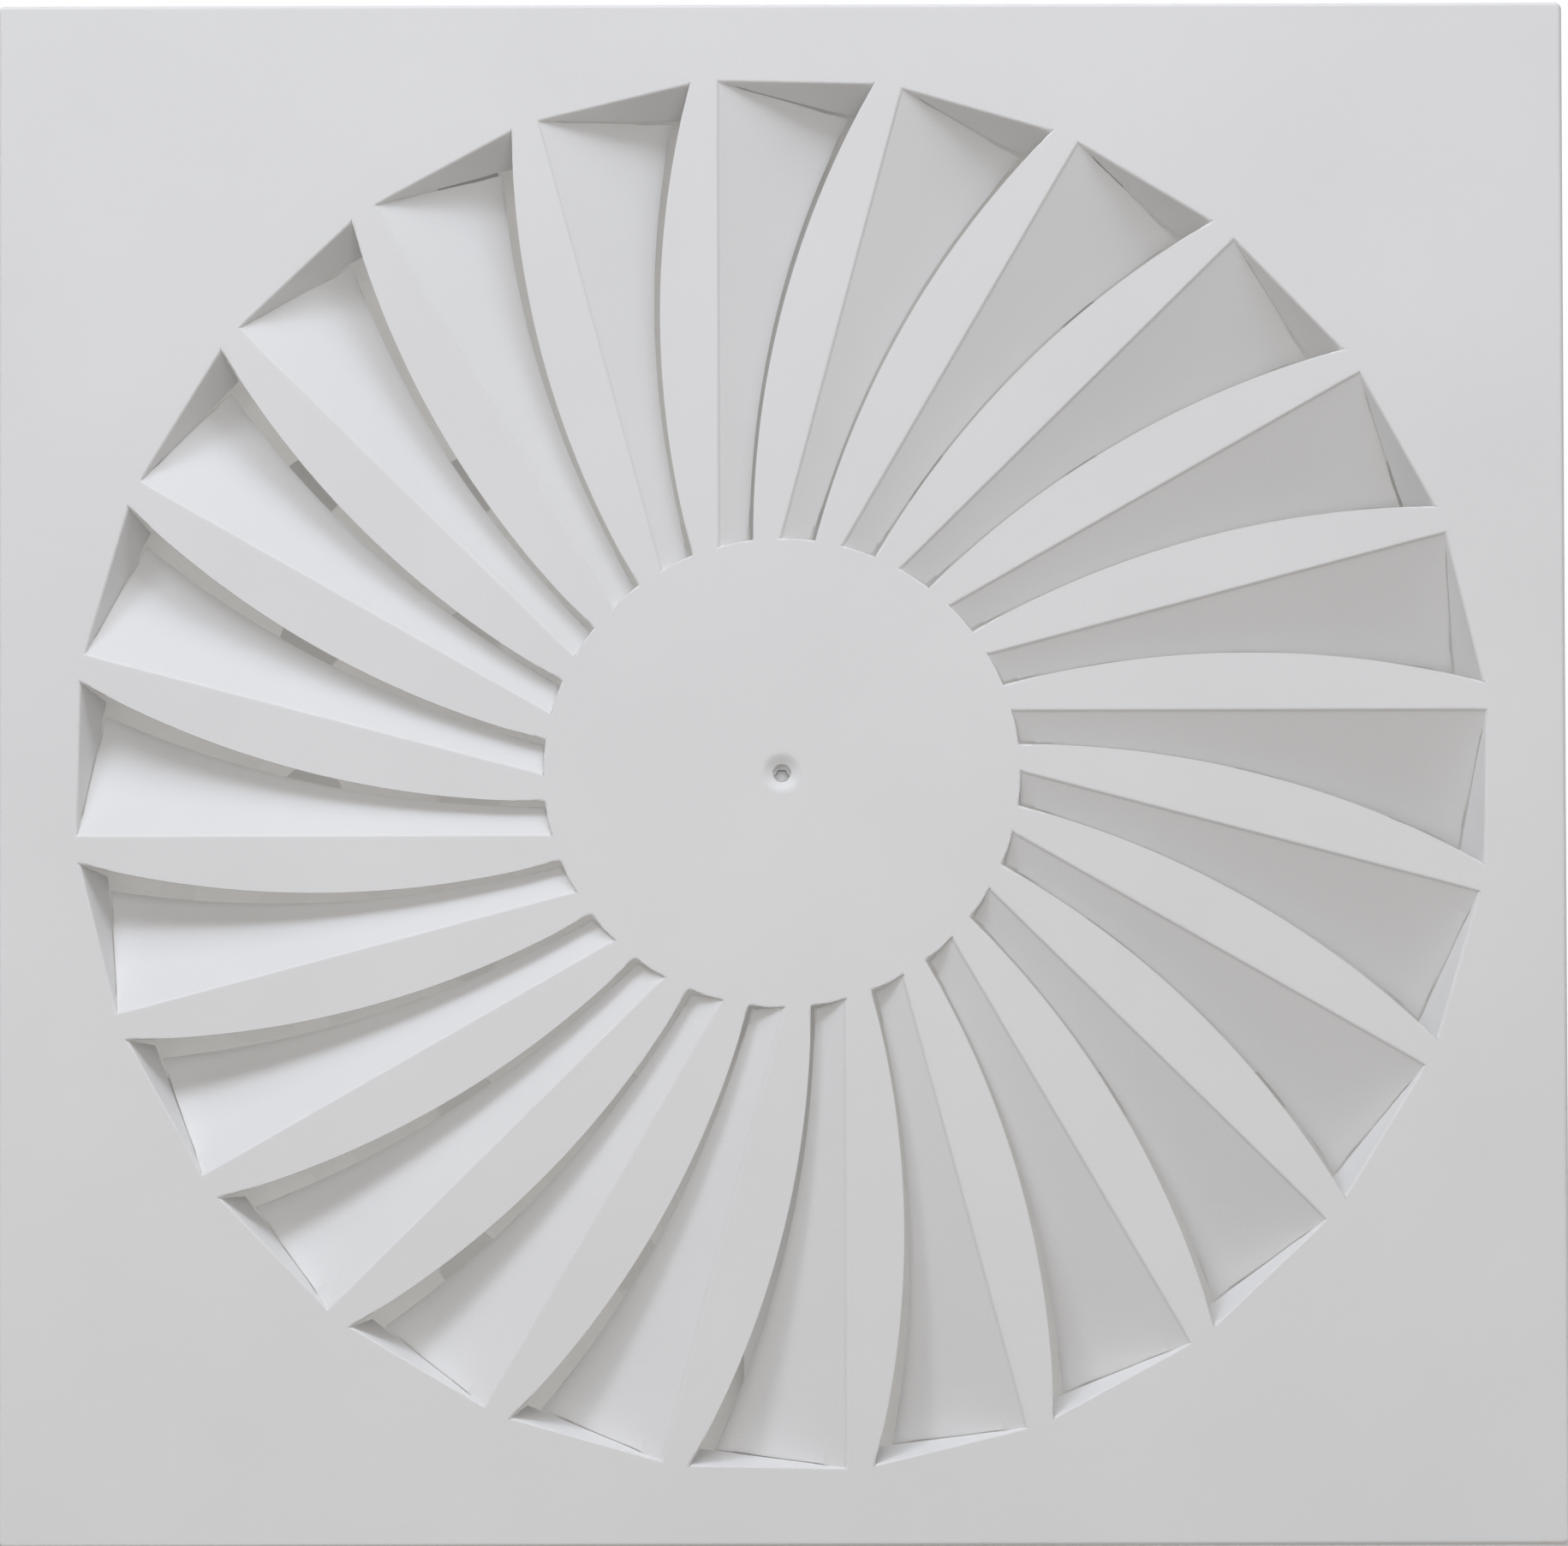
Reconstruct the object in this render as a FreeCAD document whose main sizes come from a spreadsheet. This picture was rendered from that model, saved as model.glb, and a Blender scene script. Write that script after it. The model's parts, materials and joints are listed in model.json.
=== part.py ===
import FreeCAD, Part
import math
import os
import re

import Sketcher

# Square ceiling air diffuser with a pressed swirl face on a side-entry plenum box.
# Millimetres. +Z is up into the ceiling void; the visible face lies at z = 0 and looks down.
# The origin is the centre of the visible face, and the duct spigot points along +X.

SIZES = {
    # face plate: one pressed sheet, a square pan with 24 fixed blades folded up out of it
    "plate_side": 598.0,
    "plate_sheet": 1.0,
    "rim_height": 12.0,
    "rim_bend": 1.5,
    "blade_count": 24,
    "hub_radius": 91.0,
    "ring_radius": 270.0,
    "fold_offset": 24.0,
    "corner_offset": 35.85,
    "arc_radius": 358.0,
    "fold_angle": 22.0,
    "tip_width": 54.6,
    "tip_reach": 258.0,
    "wall_angle": 64.8,
    "slit_start": 4.0,
    "slit_root": 0.8,
    "wall_overlap": 0.5,
    "wall_tip_along": 56.0,
    "wall_tip_depth": 22.9,
    "key_hole_radius": 3.2,
    "dimple_radius": 8.0,
    "dimple_floor": 5.0,
    "dimple_depth": 0.8,
    # foam gasket between the face plate and the plenum
    "gasket_inner": 283.0,
    "gasket_width": 10.0,
    "gasket_thick": 3.0,
    # captive centre screw, its cage on the back of the face and its nut in the crossbar
    "screw_radius": 2.9,
    "screw_length": 30.0,
    "screw_head_radius": 5.0,
    "screw_head_height": 6.0,
    "screw_head_level": 8.0,
    "key_circumradius": 2.89,
    "key_depth": 3.0,
    "cage_sheet": 2.0,
    "cage_half_width": 11.0,
    "cage_half_length": 16.0,
    "cage_foot": 10.0,
    "cage_play": 0.1,
    "cage_hole_radius": 3.3,
    "ring_play": 0.4,
    "push_ring_thick": 0.6,
    "push_ring_radius": 5.5,
    "nut_bore": 3.0,
    "nut_radius": 4.5,
    "nut_length": 12.0,
    "nut_flange_radius": 5.5,
    "nut_flange_thick": 0.8,
    "nut_hole_radius": 4.55,
    "bar_level": 28.0,
    "bar_sheet": 1.5,
    "bar_half_width": 15.0,
    "bar_depth": 14.0,
    "bar_leg_inset": 14.0,
    "bar_tab_height": 18.0,
    "bar_rivet_spread": 8.0,
    "bar_rivet_level": 37.0,
    # plenum box
    "box_half": 285.0,
    "box_sheet": 0.8,
    "box_top": 330.0,
    "base_flange": 8.0,
    "lap": 12.0,
    "skirt": 12.0,
    "lap_rivet_inset": 7.0,
    "lap_rivet_low": 60.0,
    "lap_rivet_step": 79.0,
    "lid_rivet_step": 180.0,
    "lid_rivet_drop": 6.0,
    # equaliser plate, a perforated sheet above the blades
    "mesh_half": 281.0,
    "mesh_sheet": 1.0,
    "mesh_level": 48.0,
    "mesh_hole_radius": 12.0,
    "mesh_pitch": 60.0,
    "mesh_holes": 9,
    "angle_sheet": 1.0,
    "angle_half_width": 15.0,
    "angle_reach": 16.0,
    "angle_drop": 18.0,
    "angle_offset": 150.0,
    "angle_screw_inset": 10.0,
    "angle_screw_radius": 2.0,
    # hanging brackets
    "hanger_sheet": 1.5,
    "hanger_offset": 200.0,
    "hanger_half_width": 20.0,
    "hanger_drop": 30.0,
    "hanger_reach": 14.0,
    "hanger_top": 316.0,
    "hanger_hole_radius": 3.5,
    "hanger_hole_reach": 7.5,
    "hanger_rivet_spread": 12.0,
    "hanger_rivet_level": 298.0,
    # duct spigot
    "spigot_radius": 124.0,
    "spigot_sheet": 0.8,
    "spigot_level": 184.0,
    "spigot_inner_end": 275.0,
    "spigot_outer_end": 435.0,
    "collar_radius": 133.0,
    "bead_start": 352.0,
    "bead_end": 360.0,
    "bead_height": 1.5,
    "bead_slope": 2.0,
    "groove_start": 412.0,
    "groove_end": 420.0,
    "groove_depth": 2.0,
    "spigot_hole_gap": 0.1,
    "collar_rivet_circle": 129.0,
    "collar_rivets": 8,
    "seal_gap": 0.3,
    "seal_base_gap": 0.05,
    # damper in the spigot
    "shaft_reach": 312.0,
    "shaft_radius": 4.0,
    "shaft_low": 55.5,
    "shaft_high": 319.0,
    "bush_radius": 5.0,
    "bush_bore": 4.05,
    "bush_hole": 5.05,
    "bush_flange_radius": 8.0,
    "bush_flange_thick": 2.0,
    "bush_inset": 1.8,
    "blade_radius": 121.0,
    "blade_sheet": 1.5,
    "blade_screw_step": 80.0,
    "blade_screw_radius": 1.9,
    "blade_screw_hole": 1.95,
    "blade_screw_head": 3.5,
    "clip_play": 0.3,
    "clip_thick": 0.8,
    "clip_radius": 6.5,
    "quadrant_level": 312.0,
    "quadrant_sheet": 2.0,
    "quadrant_radius": 34.0,
    "quadrant_back": 10.0,
    "quadrant_hole": 4.5,
    "quadrant_leg": 22.0,
    "quadrant_leg_sheet": 1.5,
    "quadrant_leg_length": 20.0,
    "quadrant_gap": 0.05,
    "slot_circle": 26.0,
    "slot_half_width": 2.9,
    "lever_sheet": 2.5,
    "lever_gap": 0.2,
    "lever_half_width": 6.0,
    "lever_length": 38.0,
    "lever_grip": 9.0,
    "lever_bore": 4.02,
    "clamp_radius": 2.5,
    "clamp_bore": 2.55,
    "clamp_head_radius": 5.0,
    "clamp_head_height": 2.4,
    "clamp_top": 326.0,
    "washer_radius": 6.0,
    "washer_thick": 1.0,
    "thin_gap": 0.1,
    "wing_hub_radius": 5.0,
    "wing_hub_height": 6.0,
    "wing_reach": 12.0,
    "wing_sheet": 2.0,
    "wing_rise": 9.0,
    # blind rivets
    "rivet_radius": 1.6,
    "rivet_hole": 1.65,
    "rivet_dome": 4.5,
    "rivet_dome_from": 50.0,
    "rivet_tail_radius": 2.4,
    "rivet_tail": 1.0,
}

X_AXIS, Y_AXIS, Z_AXIS = (1, 0, 0), (0, 1, 0), (0, 0, 1)
OVERSHOOT = 10.0

doc = FreeCAD.newDocument("ceiling_air_diffuser")
sheet = doc.addObject("Spreadsheet::Sheet", "Sizes")
for row, (alias, size) in enumerate(SIZES.items(), start=1):
    sheet.set(f"A{row}", alias)
    sheet.set(f"B{row}", str(size))
    sheet.setAlias(f"B{row}", alias)
doc.recompute()

probe = doc.addObject("App::FeaturePython", "Probe")
probe.addProperty("App::PropertyFloat", "Result")
pieces = []


# ---- small helpers -------------------------------------------------------------------------

def linked(expression):
    """The expression with every size's name pointed at its cell in the sheet."""
    def cell(word):
        return "Sizes." + word[0] if word[0] in SIZES else word[0]
    return re.sub(r"[a-z][a-z_]+", cell, str(expression))


def bind(obj, prop, expression):
    obj.setExpression(prop, linked(expression))


def number(expression):
    """The value that an expression has now."""
    bind(probe, "Result", expression)
    probe.recompute()
    return probe.Result


def place(obj, spot, facing=Z_AXIS, spin=0.0):
    """Put obj's origin at spot, with its own +Z along facing, after a spin about that +Z."""
    turn = FreeCAD.Rotation(FreeCAD.Vector(*Z_AXIS), FreeCAD.Vector(*facing))
    turn = turn * FreeCAD.Rotation(FreeCAD.Vector(*Z_AXIS), spin)
    obj.Placement = FreeCAD.Placement(FreeCAD.Vector(0, 0, 0), turn)
    for axis, expression in zip("xyz", spot):
        bind(obj, "Placement.Base." + axis, expression)
    return obj


def box(corner, size, spin=0.0):
    obj = doc.addObject("Part::Box", "Block")
    for prop, expression in zip(("Length", "Width", "Height"), size):
        bind(obj, prop, expression)
    return place(obj, corner, spin=spin)


def cylinder(radius, length, spot, facing=Z_AXIS, spin=0.0, sweep=360):
    obj = doc.addObject("Part::Cylinder", "Round")
    bind(obj, "Radius", radius)
    bind(obj, "Height", length)
    obj.Angle = sweep
    return place(obj, spot, facing, spin)


def fuse(parts):
    obj = doc.addObject("Part::MultiFuse", "Joined")
    obj.Shapes = parts
    return obj


def compound(parts):
    obj = doc.addObject("Part::Compound", "Group")
    obj.Links = parts
    return obj


def cut(base, tools):
    obj = doc.addObject("Part::Cut", "Cut")
    obj.Base = base
    obj.Tool = tools[0] if len(tools) == 1 else compound(tools)
    return obj


def piece(label, obj):
    """Name a finished sub-part."""
    obj.Label = label
    pieces.append(obj)
    return obj


def ring(outer, inner, length, spot, facing=Z_AXIS):
    return cut(cylinder(outer, length, spot, facing), [cylinder(inner, length, spot, facing)])


def origin_item(body, role):
    return [item for item in body.Origin.OriginFeatures if item.Role == role][0]


def outline(body, role, corners, arcs=None, offset=None):
    """A closed sketch through corners, pairs of expressions. arcs maps the number of an edge to
    (radius, side), an arc whose centre lies on the left (1) or right (-1) of that edge."""
    sketch = body.newObject("Sketcher::SketchObject", "Outline")
    sketch.AttachmentSupport = (origin_item(body, role), [""])
    sketch.MapMode = "FlatFace"
    if offset is not None:
        sketch.AttachmentOffset = offset
    arcs = arcs or {}
    points = [FreeCAD.Vector(number(x), number(y), 0) for x, y in corners]
    count = len(points)
    for i, start in enumerate(points):
        end = points[(i + 1) % count]
        if i not in arcs:
            sketch.addGeometry(Part.LineSegment(start, end))
            continue
        radius, side = number(arcs[i][0]), arcs[i][1]
        middle = (start + end) / 2
        along = (end - start).normalize()
        left = FreeCAD.Vector(-along.y, along.x, 0)
        rise = math.sqrt(radius ** 2 - (end - start).Length ** 2 / 4)
        centre = middle + left * side * rise
        first, last = (start, end) if side > 0 else (end, start)
        angles = [math.atan2(p.y - centre.y, p.x - centre.x) for p in (first, last)]
        circle = Part.Circle(centre, FreeCAD.Vector(*Z_AXIS), radius)
        sketch.addGeometry(Part.ArcOfCircle(circle, angles[0], angles[1]))

    def end_of(i, at_start):
        """Which end point of edge i is its first: arcs with their centre on the right run back."""
        reversed_arc = i in arcs and arcs[i][1] < 0
        return 1 if at_start != reversed_arc else 2

    for i, (x, y) in enumerate(corners):
        before = (i - 1) % count
        sketch.addConstraint(Sketcher.Constraint("Coincident", before, end_of(before, False),
                                                 i, end_of(i, True)))
        for kind, expression, value in (("DistanceX", x, points[i].x), ("DistanceY", y, points[i].y)):
            index = sketch.addConstraint(Sketcher.Constraint(kind, i, end_of(i, True), value))
            bind(sketch, f"Constraints[{index}]", expression)
    for i, (radius, _) in arcs.items():
        index = sketch.addConstraint(Sketcher.Constraint("Radius", i, number(radius)))
        bind(sketch, f"Constraints[{index}]", radius)
    return sketch


def disc(body, role, radius, offset=None):
    sketch = body.newObject("Sketcher::SketchObject", "Disc")
    sketch.AttachmentSupport = (origin_item(body, role), [""])
    sketch.MapMode = "FlatFace"
    if offset is not None:
        sketch.AttachmentOffset = offset
    circle = Part.Circle(FreeCAD.Vector(0, 0, 0), FreeCAD.Vector(*Z_AXIS), number(radius))
    sketch.addGeometry(circle)
    sketch.addConstraint(Sketcher.Constraint("Coincident", 0, 3, -1, 1))
    index = sketch.addConstraint(Sketcher.Constraint("Radius", 0, number(radius)))
    bind(sketch, f"Constraints[{index}]", radius)
    return sketch


def feature(body, kind, sketch, **sizes):
    obj = body.newObject("PartDesign::" + kind, kind)
    obj.Profile = sketch
    sketch.Visibility = False
    for prop, expression in sizes.items():
        bind(obj, prop, expression)
    return obj


def revolve(body, kind, sketch, axis):
    obj = feature(body, kind, sketch)
    obj.ReferenceAxis = (sketch, [axis])
    obj.Angle = 360
    return obj


def lifted(expression):
    """An attachment offset that raises a sketch along its plane's normal."""
    return FreeCAD.Placement(FreeCAD.Vector(0, 0, number(expression)), FreeCAD.Rotation())


def square(half):
    return [(f"-{half}", f"-{half}"), (half, f"-{half}"), (half, half), (f"-{half}", half)]


# ---- face plate ----------------------------------------------------------------------------

# Slot 0 points along +Y. Its straight fold line is at x = fold_offset, parallel to the radius,
# and its free edge is an arc that starts at the hub parallel to the fold.
ARC_CENTRE_X = "(-sqrt(arc_radius ^ 2 - (sqrt(ring_radius ^ 2 - corner_offset ^ 2) - hub_radius) ^ 2)" \
               " - corner_offset)"
FOLD_INNER = "sqrt(hub_radius ^ 2 - fold_offset ^ 2)"
FOLD_OUTER = "sqrt(ring_radius ^ 2 - fold_offset ^ 2)"
CORNER_Y = "sqrt(ring_radius ^ 2 - corner_offset ^ 2)"
SLOT_INNER_X = f"({ARC_CENTRE_X} + arc_radius)"
SLOT_INNER_Y = f"sqrt(hub_radius ^ 2 - {SLOT_INNER_X} ^ 2)"


def pan(body):
    """The square sheet with its rim turned up all round."""
    blank = feature(body, "Pad", outline(body, "XY_Plane", square("plate_side / 2")),
                    Length="rim_height")
    doc.recompute()
    outer = [f"Edge{i + 1}" for i, edge in enumerate(blank.Shape.Edges)
             if edge.CenterOfMass.z < number("rim_height") - 0.01]
    rounded = body.newObject("PartDesign::Fillet", "RimBend")
    rounded.Base = (blank, outer)
    bind(rounded, "Radius", "rim_bend")
    hollow = outline(body, "XY_Plane", square("(plate_side / 2 - plate_sheet)"),
                     offset=lifted("rim_height"))
    feature(body, "Pocket", hollow, Length="rim_height - plate_sheet")
    doc.recompute()
    assert body.Shape.Volume < 0.2 * blank.Shape.Volume


def slots(body):
    """Cut the slots that the blades are folded out of."""
    corners = [("fold_offset", FOLD_INNER), ("fold_offset", FOLD_OUTER),
               ("-corner_offset", CORNER_Y), (SLOT_INNER_X, SLOT_INNER_Y)]
    arcs = {2: ("arc_radius", -1), 3: ("hub_radius", -1)}
    sketch = outline(body, "XY_Plane", corners, arcs, lifted("plate_sheet"))
    pocket = feature(body, "Pocket", sketch, Length="plate_sheet")
    pattern = body.newObject("PartDesign::PolarPattern", "SlotRing")
    pattern.Originals = [pocket]
    pattern.Axis = (sketch, ["N_Axis"])
    pattern.Angle = 360
    bind(pattern, "Occurrences", "blade_count")
    body.Tip = pattern


def blade_sketch(body):
    """The blade's flat outline, in a plane hinged up about the fold line."""
    hinge = FreeCAD.Placement(FreeCAD.Vector(number("fold_offset"), 0, 0),
                              FreeCAD.Rotation(FreeCAD.Vector(*Y_AXIS), number("fold_angle")))
    corners = [("0", FOLD_INNER), ("0", FOLD_OUTER), ("-tip_width", "tip_reach"),
               (f"{SLOT_INNER_X} - fold_offset", SLOT_INNER_Y)]
    arcs = {2: ("arc_radius", -1), 3: ("hub_radius", -1)}
    return outline(body, "XY_Plane", corners, arcs, hinge)


def wall_sketch(body):
    """The triangular wall at the slot's outer end, turned up about the slot's end chord."""
    start = FreeCAD.Vector(number("fold_offset"), number(FOLD_OUTER), 0)
    end = FreeCAD.Vector(-number("corner_offset"), number(CORNER_Y), 0)
    chord = end - start
    yaw = math.degrees(math.atan2(chord.y, chord.x))
    plane = FreeCAD.Placement(start, FreeCAD.Rotation(yaw, 0, number("wall_angle")))
    tip = plane.inverse().multVec(blade_tip())
    slope = math.atan2(tip.y, tip.x)
    along = FreeCAD.Vector(math.cos(slope), math.sin(slope), 0)
    aside = FreeCAD.Vector(along.y, -along.x, 0)
    root = along * number("slit_start")
    slit = root + aside * number("slit_root")
    lapped = root - aside * number("wall_overlap")
    corners = [("0", "0"), (str(chord.Length), "0"), ("wall_tip_along", "wall_tip_depth"),
               (str(slit.x), str(slit.y)), (str(lapped.x), str(lapped.y))]
    return outline(body, "XY_Plane", corners, offset=plane)


def blade_tip():
    """The outer free corner of blade 0, after folding."""
    fold = math.radians(number("fold_angle"))
    width = number("tip_width")
    return FreeCAD.Vector(number("fold_offset") - width * math.cos(fold), number("tip_reach"),
                          width * math.sin(fold))


def face_plate():
    body = doc.addObject("PartDesign::Body", "FacePlate")
    pan(body)
    slots(body)
    doc.recompute()
    slotted = body.Shape.Volume
    blade = feature(body, "Pad", blade_sketch(body), Length="plate_sheet")
    wall = feature(body, "Pad", wall_sketch(body), Length="plate_sheet")
    pattern = body.newObject("PartDesign::PolarPattern", "BladeRing")
    pattern.Originals = [blade, wall]
    pattern.Axis = (origin_item(body, "Z_Axis"), [""])
    pattern.Angle = 360
    bind(pattern, "Occurrences", "blade_count")
    body.Tip = pattern
    doc.recompute()
    assert body.Shape.Volume > slotted
    raised = [("0", "plate_sheet / 2"), ("dimple_radius + plate_sheet", "plate_sheet / 2"),
              ("dimple_radius + plate_sheet", "plate_sheet"),
              ("dimple_floor + plate_sheet", "plate_sheet + dimple_depth"),
              ("0", "plate_sheet + dimple_depth")]
    revolve(body, "Revolution", outline(body, "XZ_Plane", raised), "V_Axis")
    hollow = [("0", "0"), ("dimple_radius", "0"), ("dimple_floor", "dimple_depth"),
              ("0", "dimple_depth")]
    revolve(body, "Groove", outline(body, "XZ_Plane", hollow), "V_Axis")
    top = lifted("plate_sheet + dimple_depth")
    feature(body, "Pocket", disc(body, "XY_Plane", "key_hole_radius", top),
            Length="plate_sheet + dimple_depth")
    piece("face_plate", body)


def square_ring(half, width, low, thick):
    outer = box((f"-({half} + {width})", f"-({half} + {width})", low),
                (f"2 * ({half} + {width})", f"2 * ({half} + {width})", thick))
    inner = box((f"-{half}", f"-{half}", low), (f"2 * {half}", f"2 * {half}", thick))
    return cut(outer, [inner])


def screw_cage():
    """A bridge welded to the back of the face, which the centre screw's head pulls up on."""
    top = "screw_head_level + screw_head_height + cage_play"
    width = "2 * cage_half_width"
    parts = [box(("-cage_half_width", "-cage_half_length", top),
                 (width, "2 * cage_half_length", "cage_sheet"))]
    for side in (-1, 1):
        leg = "-cage_half_length" if side < 0 else "cage_half_length - cage_sheet"
        foot = "-cage_half_length - cage_foot" if side < 0 else "cage_half_length - cage_sheet"
        parts.append(box(("-cage_half_width", leg, "plate_sheet"),
                         (width, "cage_sheet", f"{top} - plate_sheet + cage_sheet")))
        parts.append(box(("-cage_half_width", foot, "plate_sheet"),
                         (width, "cage_foot + cage_sheet", "cage_sheet")))
    hole = cylinder("cage_hole_radius", OVERSHOOT, ("0", "0", top))
    piece("screw_cage", cut(fuse(parts), [hole]))


def centre_screw():
    shoulder = "screw_head_level + screw_head_height"
    head = cylinder("screw_head_radius", "screw_head_height", ("0", "0", "screw_head_level"))
    shank = cylinder("screw_radius", "screw_length", ("0", "0", shoulder))
    socket = doc.addObject("Part::Prism", "Socket")
    socket.Polygon = 6
    bind(socket, "Circumradius", "key_circumradius")
    bind(socket, "Height", "key_depth")
    place(socket, ("0", "0", "screw_head_level"))
    piece("centre_screw", cut(fuse([head, shank]), [socket]))
    level = f"{shoulder} + cage_play + cage_sheet + ring_play"
    piece("screw_push_ring", ring("push_ring_radius", "screw_radius", "push_ring_thick",
                                  ("0", "0", level)))


# ---- rivets --------------------------------------------------------------------------------

def rivets(label, spots, grip):
    """Blind rivets, one at each (spot, facing): the spot is on the outer surface."""
    dome = doc.addObject("Part::Sphere", "Dome")
    bind(dome, "Radius", "rivet_dome")
    bind(dome, "Angle1", "rivet_dome_from")
    place(dome, ("0", "0", "-rivet_dome * sin(rivet_dome_from)"))
    shank = cylinder("rivet_radius", f"{grip}", ("0", "0", f"-({grip})"))
    tail = cylinder("rivet_tail_radius", "rivet_tail", ("0", "0", f"-({grip}) - rivet_tail"))
    group = [place(fuse([dome, shank, tail]), spot, facing) for spot, facing in spots]
    piece(label, compound(group))


def rivet_holes(spots, length=OVERSHOOT):
    """Drilled holes for rivets, centred on the same spots."""
    holes = []
    for spot, facing in spots:
        low = [f"({where}) - {side * length / 2}" for where, side in zip(spot, facing)]
        holes.append(cylinder("rivet_hole", length, low, facing))
    return holes


def lap_spots():
    """Where the folded laps of the X sides are riveted to the Y sides."""
    spots = []
    for side_x in (-1, 1):
        for side_y in (-1, 1):
            for step in range(4):
                spot = (f"{side_x} * (box_half - lap_rivet_inset)", f"{side_y} * box_half",
                        f"lap_rivet_low + {step} * lap_rivet_step")
                spots.append((spot, (0, side_y, 0)))
    return spots


def lid_spots():
    """Where the lid's skirt is riveted to the four sides."""
    spots = []
    level = "box_top - lid_rivet_drop"
    for side in (-1, 1):
        for step in (-1, 0, 1):
            along = f"{step} * lid_rivet_step"
            out = f"{side} * (box_half + box_sheet)"
            spots.append(((out, along, level), (side, 0, 0)))
            spots.append(((along, out, level), (0, side, 0)))
    return spots


def bar_spots():
    return [((f"{side_x} * bar_rivet_spread", f"{side_y} * box_half", "bar_rivet_level"),
             (0, side_y, 0)) for side_x in (-1, 1) for side_y in (-1, 1)]


def hanger_places():
    return [(side_x, side_y) for side_x in (-1, 1) for side_y in (-1, 1)]


def hanger_spots():
    spots = []
    for side_x, side_y in hanger_places():
        for step in (-1, 1):
            spot = (f"{side_x} * hanger_offset + {step} * hanger_rivet_spread",
                    f"{side_y} * (box_half + hanger_sheet)", "hanger_rivet_level")
            spots.append((spot, (0, side_y, 0)))
    return spots


def angle_spots():
    return [((f"{side_x} * angle_offset", f"{side_y} * box_half", "mesh_level - angle_drop / 2"),
             (0, side_y, 0)) for side_x, side_y in hanger_places()]


def collar_spots():
    spots = []
    for i in range(SIZES["collar_rivets"]):
        turn = f"({i} + 0.5) * 360 / collar_rivets"
        spot = ("box_half + spigot_sheet", f"collar_rivet_circle * cos({turn})",
                f"spigot_level + collar_rivet_circle * sin({turn})")
        spots.append((spot, X_AXIS))
    return spots


# ---- crossbar ------------------------------------------------------------------------------

def crossbar():
    """A channel across the plenum's mouth, riveted to the Y sides, that holds the rivet nut."""
    reach = "(box_half - box_sheet)"
    width = "2 * bar_half_width"
    parts = [box(("-bar_half_width", f"-{reach}", "bar_level"), (width, f"2 * {reach}", "bar_sheet"))]
    for side in (-1, 1):
        leg = "-bar_half_width" if side < 0 else "bar_half_width - bar_sheet"
        parts.append(box((leg, f"-{reach} + bar_leg_inset", "bar_level"),
                         ("bar_sheet", f"2 * ({reach} - bar_leg_inset)", "bar_depth")))
        tab = f"-{reach}" if side < 0 else f"{reach} - bar_sheet"
        parts.append(box(("-bar_half_width", tab, "bar_level"),
                         (width, "bar_sheet", "bar_tab_height")))
    nut_hole = cylinder("nut_hole_radius", OVERSHOOT, ("0", "0", "bar_level - bar_sheet"))
    piece("crossbar", cut(fuse(parts), [nut_hole] + rivet_holes(bar_spots())))
    rivets("crossbar_rivets", bar_spots(), "box_sheet + bar_sheet")
    flange = cylinder("nut_flange_radius", "nut_flange_thick",
                      ("0", "0", "bar_level - nut_flange_thick"))
    barrel = cylinder("nut_radius", "nut_length", ("0", "0", "bar_level"))
    bore = cylinder("nut_bore", "nut_length + nut_flange_thick",
                    ("0", "0", "bar_level - nut_flange_thick"))
    piece("rivet_nut", cut(fuse([flange, barrel]), [bore]))


# ---- plenum box ----------------------------------------------------------------------------

BASE = "(plate_sheet + gasket_thick)"
WALL_HEIGHT = f"(box_top - {BASE})"


def plain_side(label, side):
    """A Y side: a flat sheet with an outward flange along its foot."""
    wall_y = "-box_half" if side < 0 else "box_half - box_sheet"
    flange_y = "-box_half - base_flange" if side < 0 else "box_half - box_sheet"
    wall = box(("-box_half", wall_y, BASE), ("2 * box_half", "box_sheet", WALL_HEIGHT))
    flange = box(("-(box_half + base_flange)", flange_y, BASE),
                 ("2 * (box_half + base_flange)", "base_flange + box_sheet", "box_sheet"))
    spots = lap_spots() + lid_spots() + bar_spots() + hanger_spots() + angle_spots()
    mine = [spot for spot in spots if spot[1][1] == side]
    piece(label, cut(fuse([wall, flange]), rivet_holes(mine)))


def lapped_side(label, side, with_spigot):
    """An X side: a flat sheet with a foot flange and a folded lap at each upright edge."""
    reach = "(box_half - box_sheet)"
    wall_x = "-box_half" if side < 0 else "box_half - box_sheet"
    flange_x = "-box_half - base_flange" if side < 0 else "box_half - box_sheet"
    lap_x = f"-{reach}" if side < 0 else f"{reach} - lap"
    parts = [box((wall_x, f"-{reach}", BASE), ("box_sheet", f"2 * {reach}", WALL_HEIGHT)),
             box((flange_x, f"-{reach}", BASE), ("base_flange + box_sheet", f"2 * {reach}", "box_sheet"))]
    for lap_y in (f"-{reach}", f"{reach} - box_sheet"):
        parts.append(box((lap_x, lap_y, BASE), ("lap", "box_sheet", WALL_HEIGHT)))
    spots = [spot for spot in lid_spots() if spot[1][0] == side]
    spots += [spot for spot in lap_spots() if spot[0][0].startswith(f"{side} ")]
    tools = rivet_holes(spots)
    if with_spigot:
        tools += rivet_holes(collar_spots())
        tools.append(cylinder("spigot_radius + spigot_hole_gap", 4 * OVERSHOOT,
                              (f"box_half - {2 * OVERSHOOT}", "0", "spigot_level"), X_AXIS))
    piece(label, cut(fuse(parts), tools))


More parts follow.
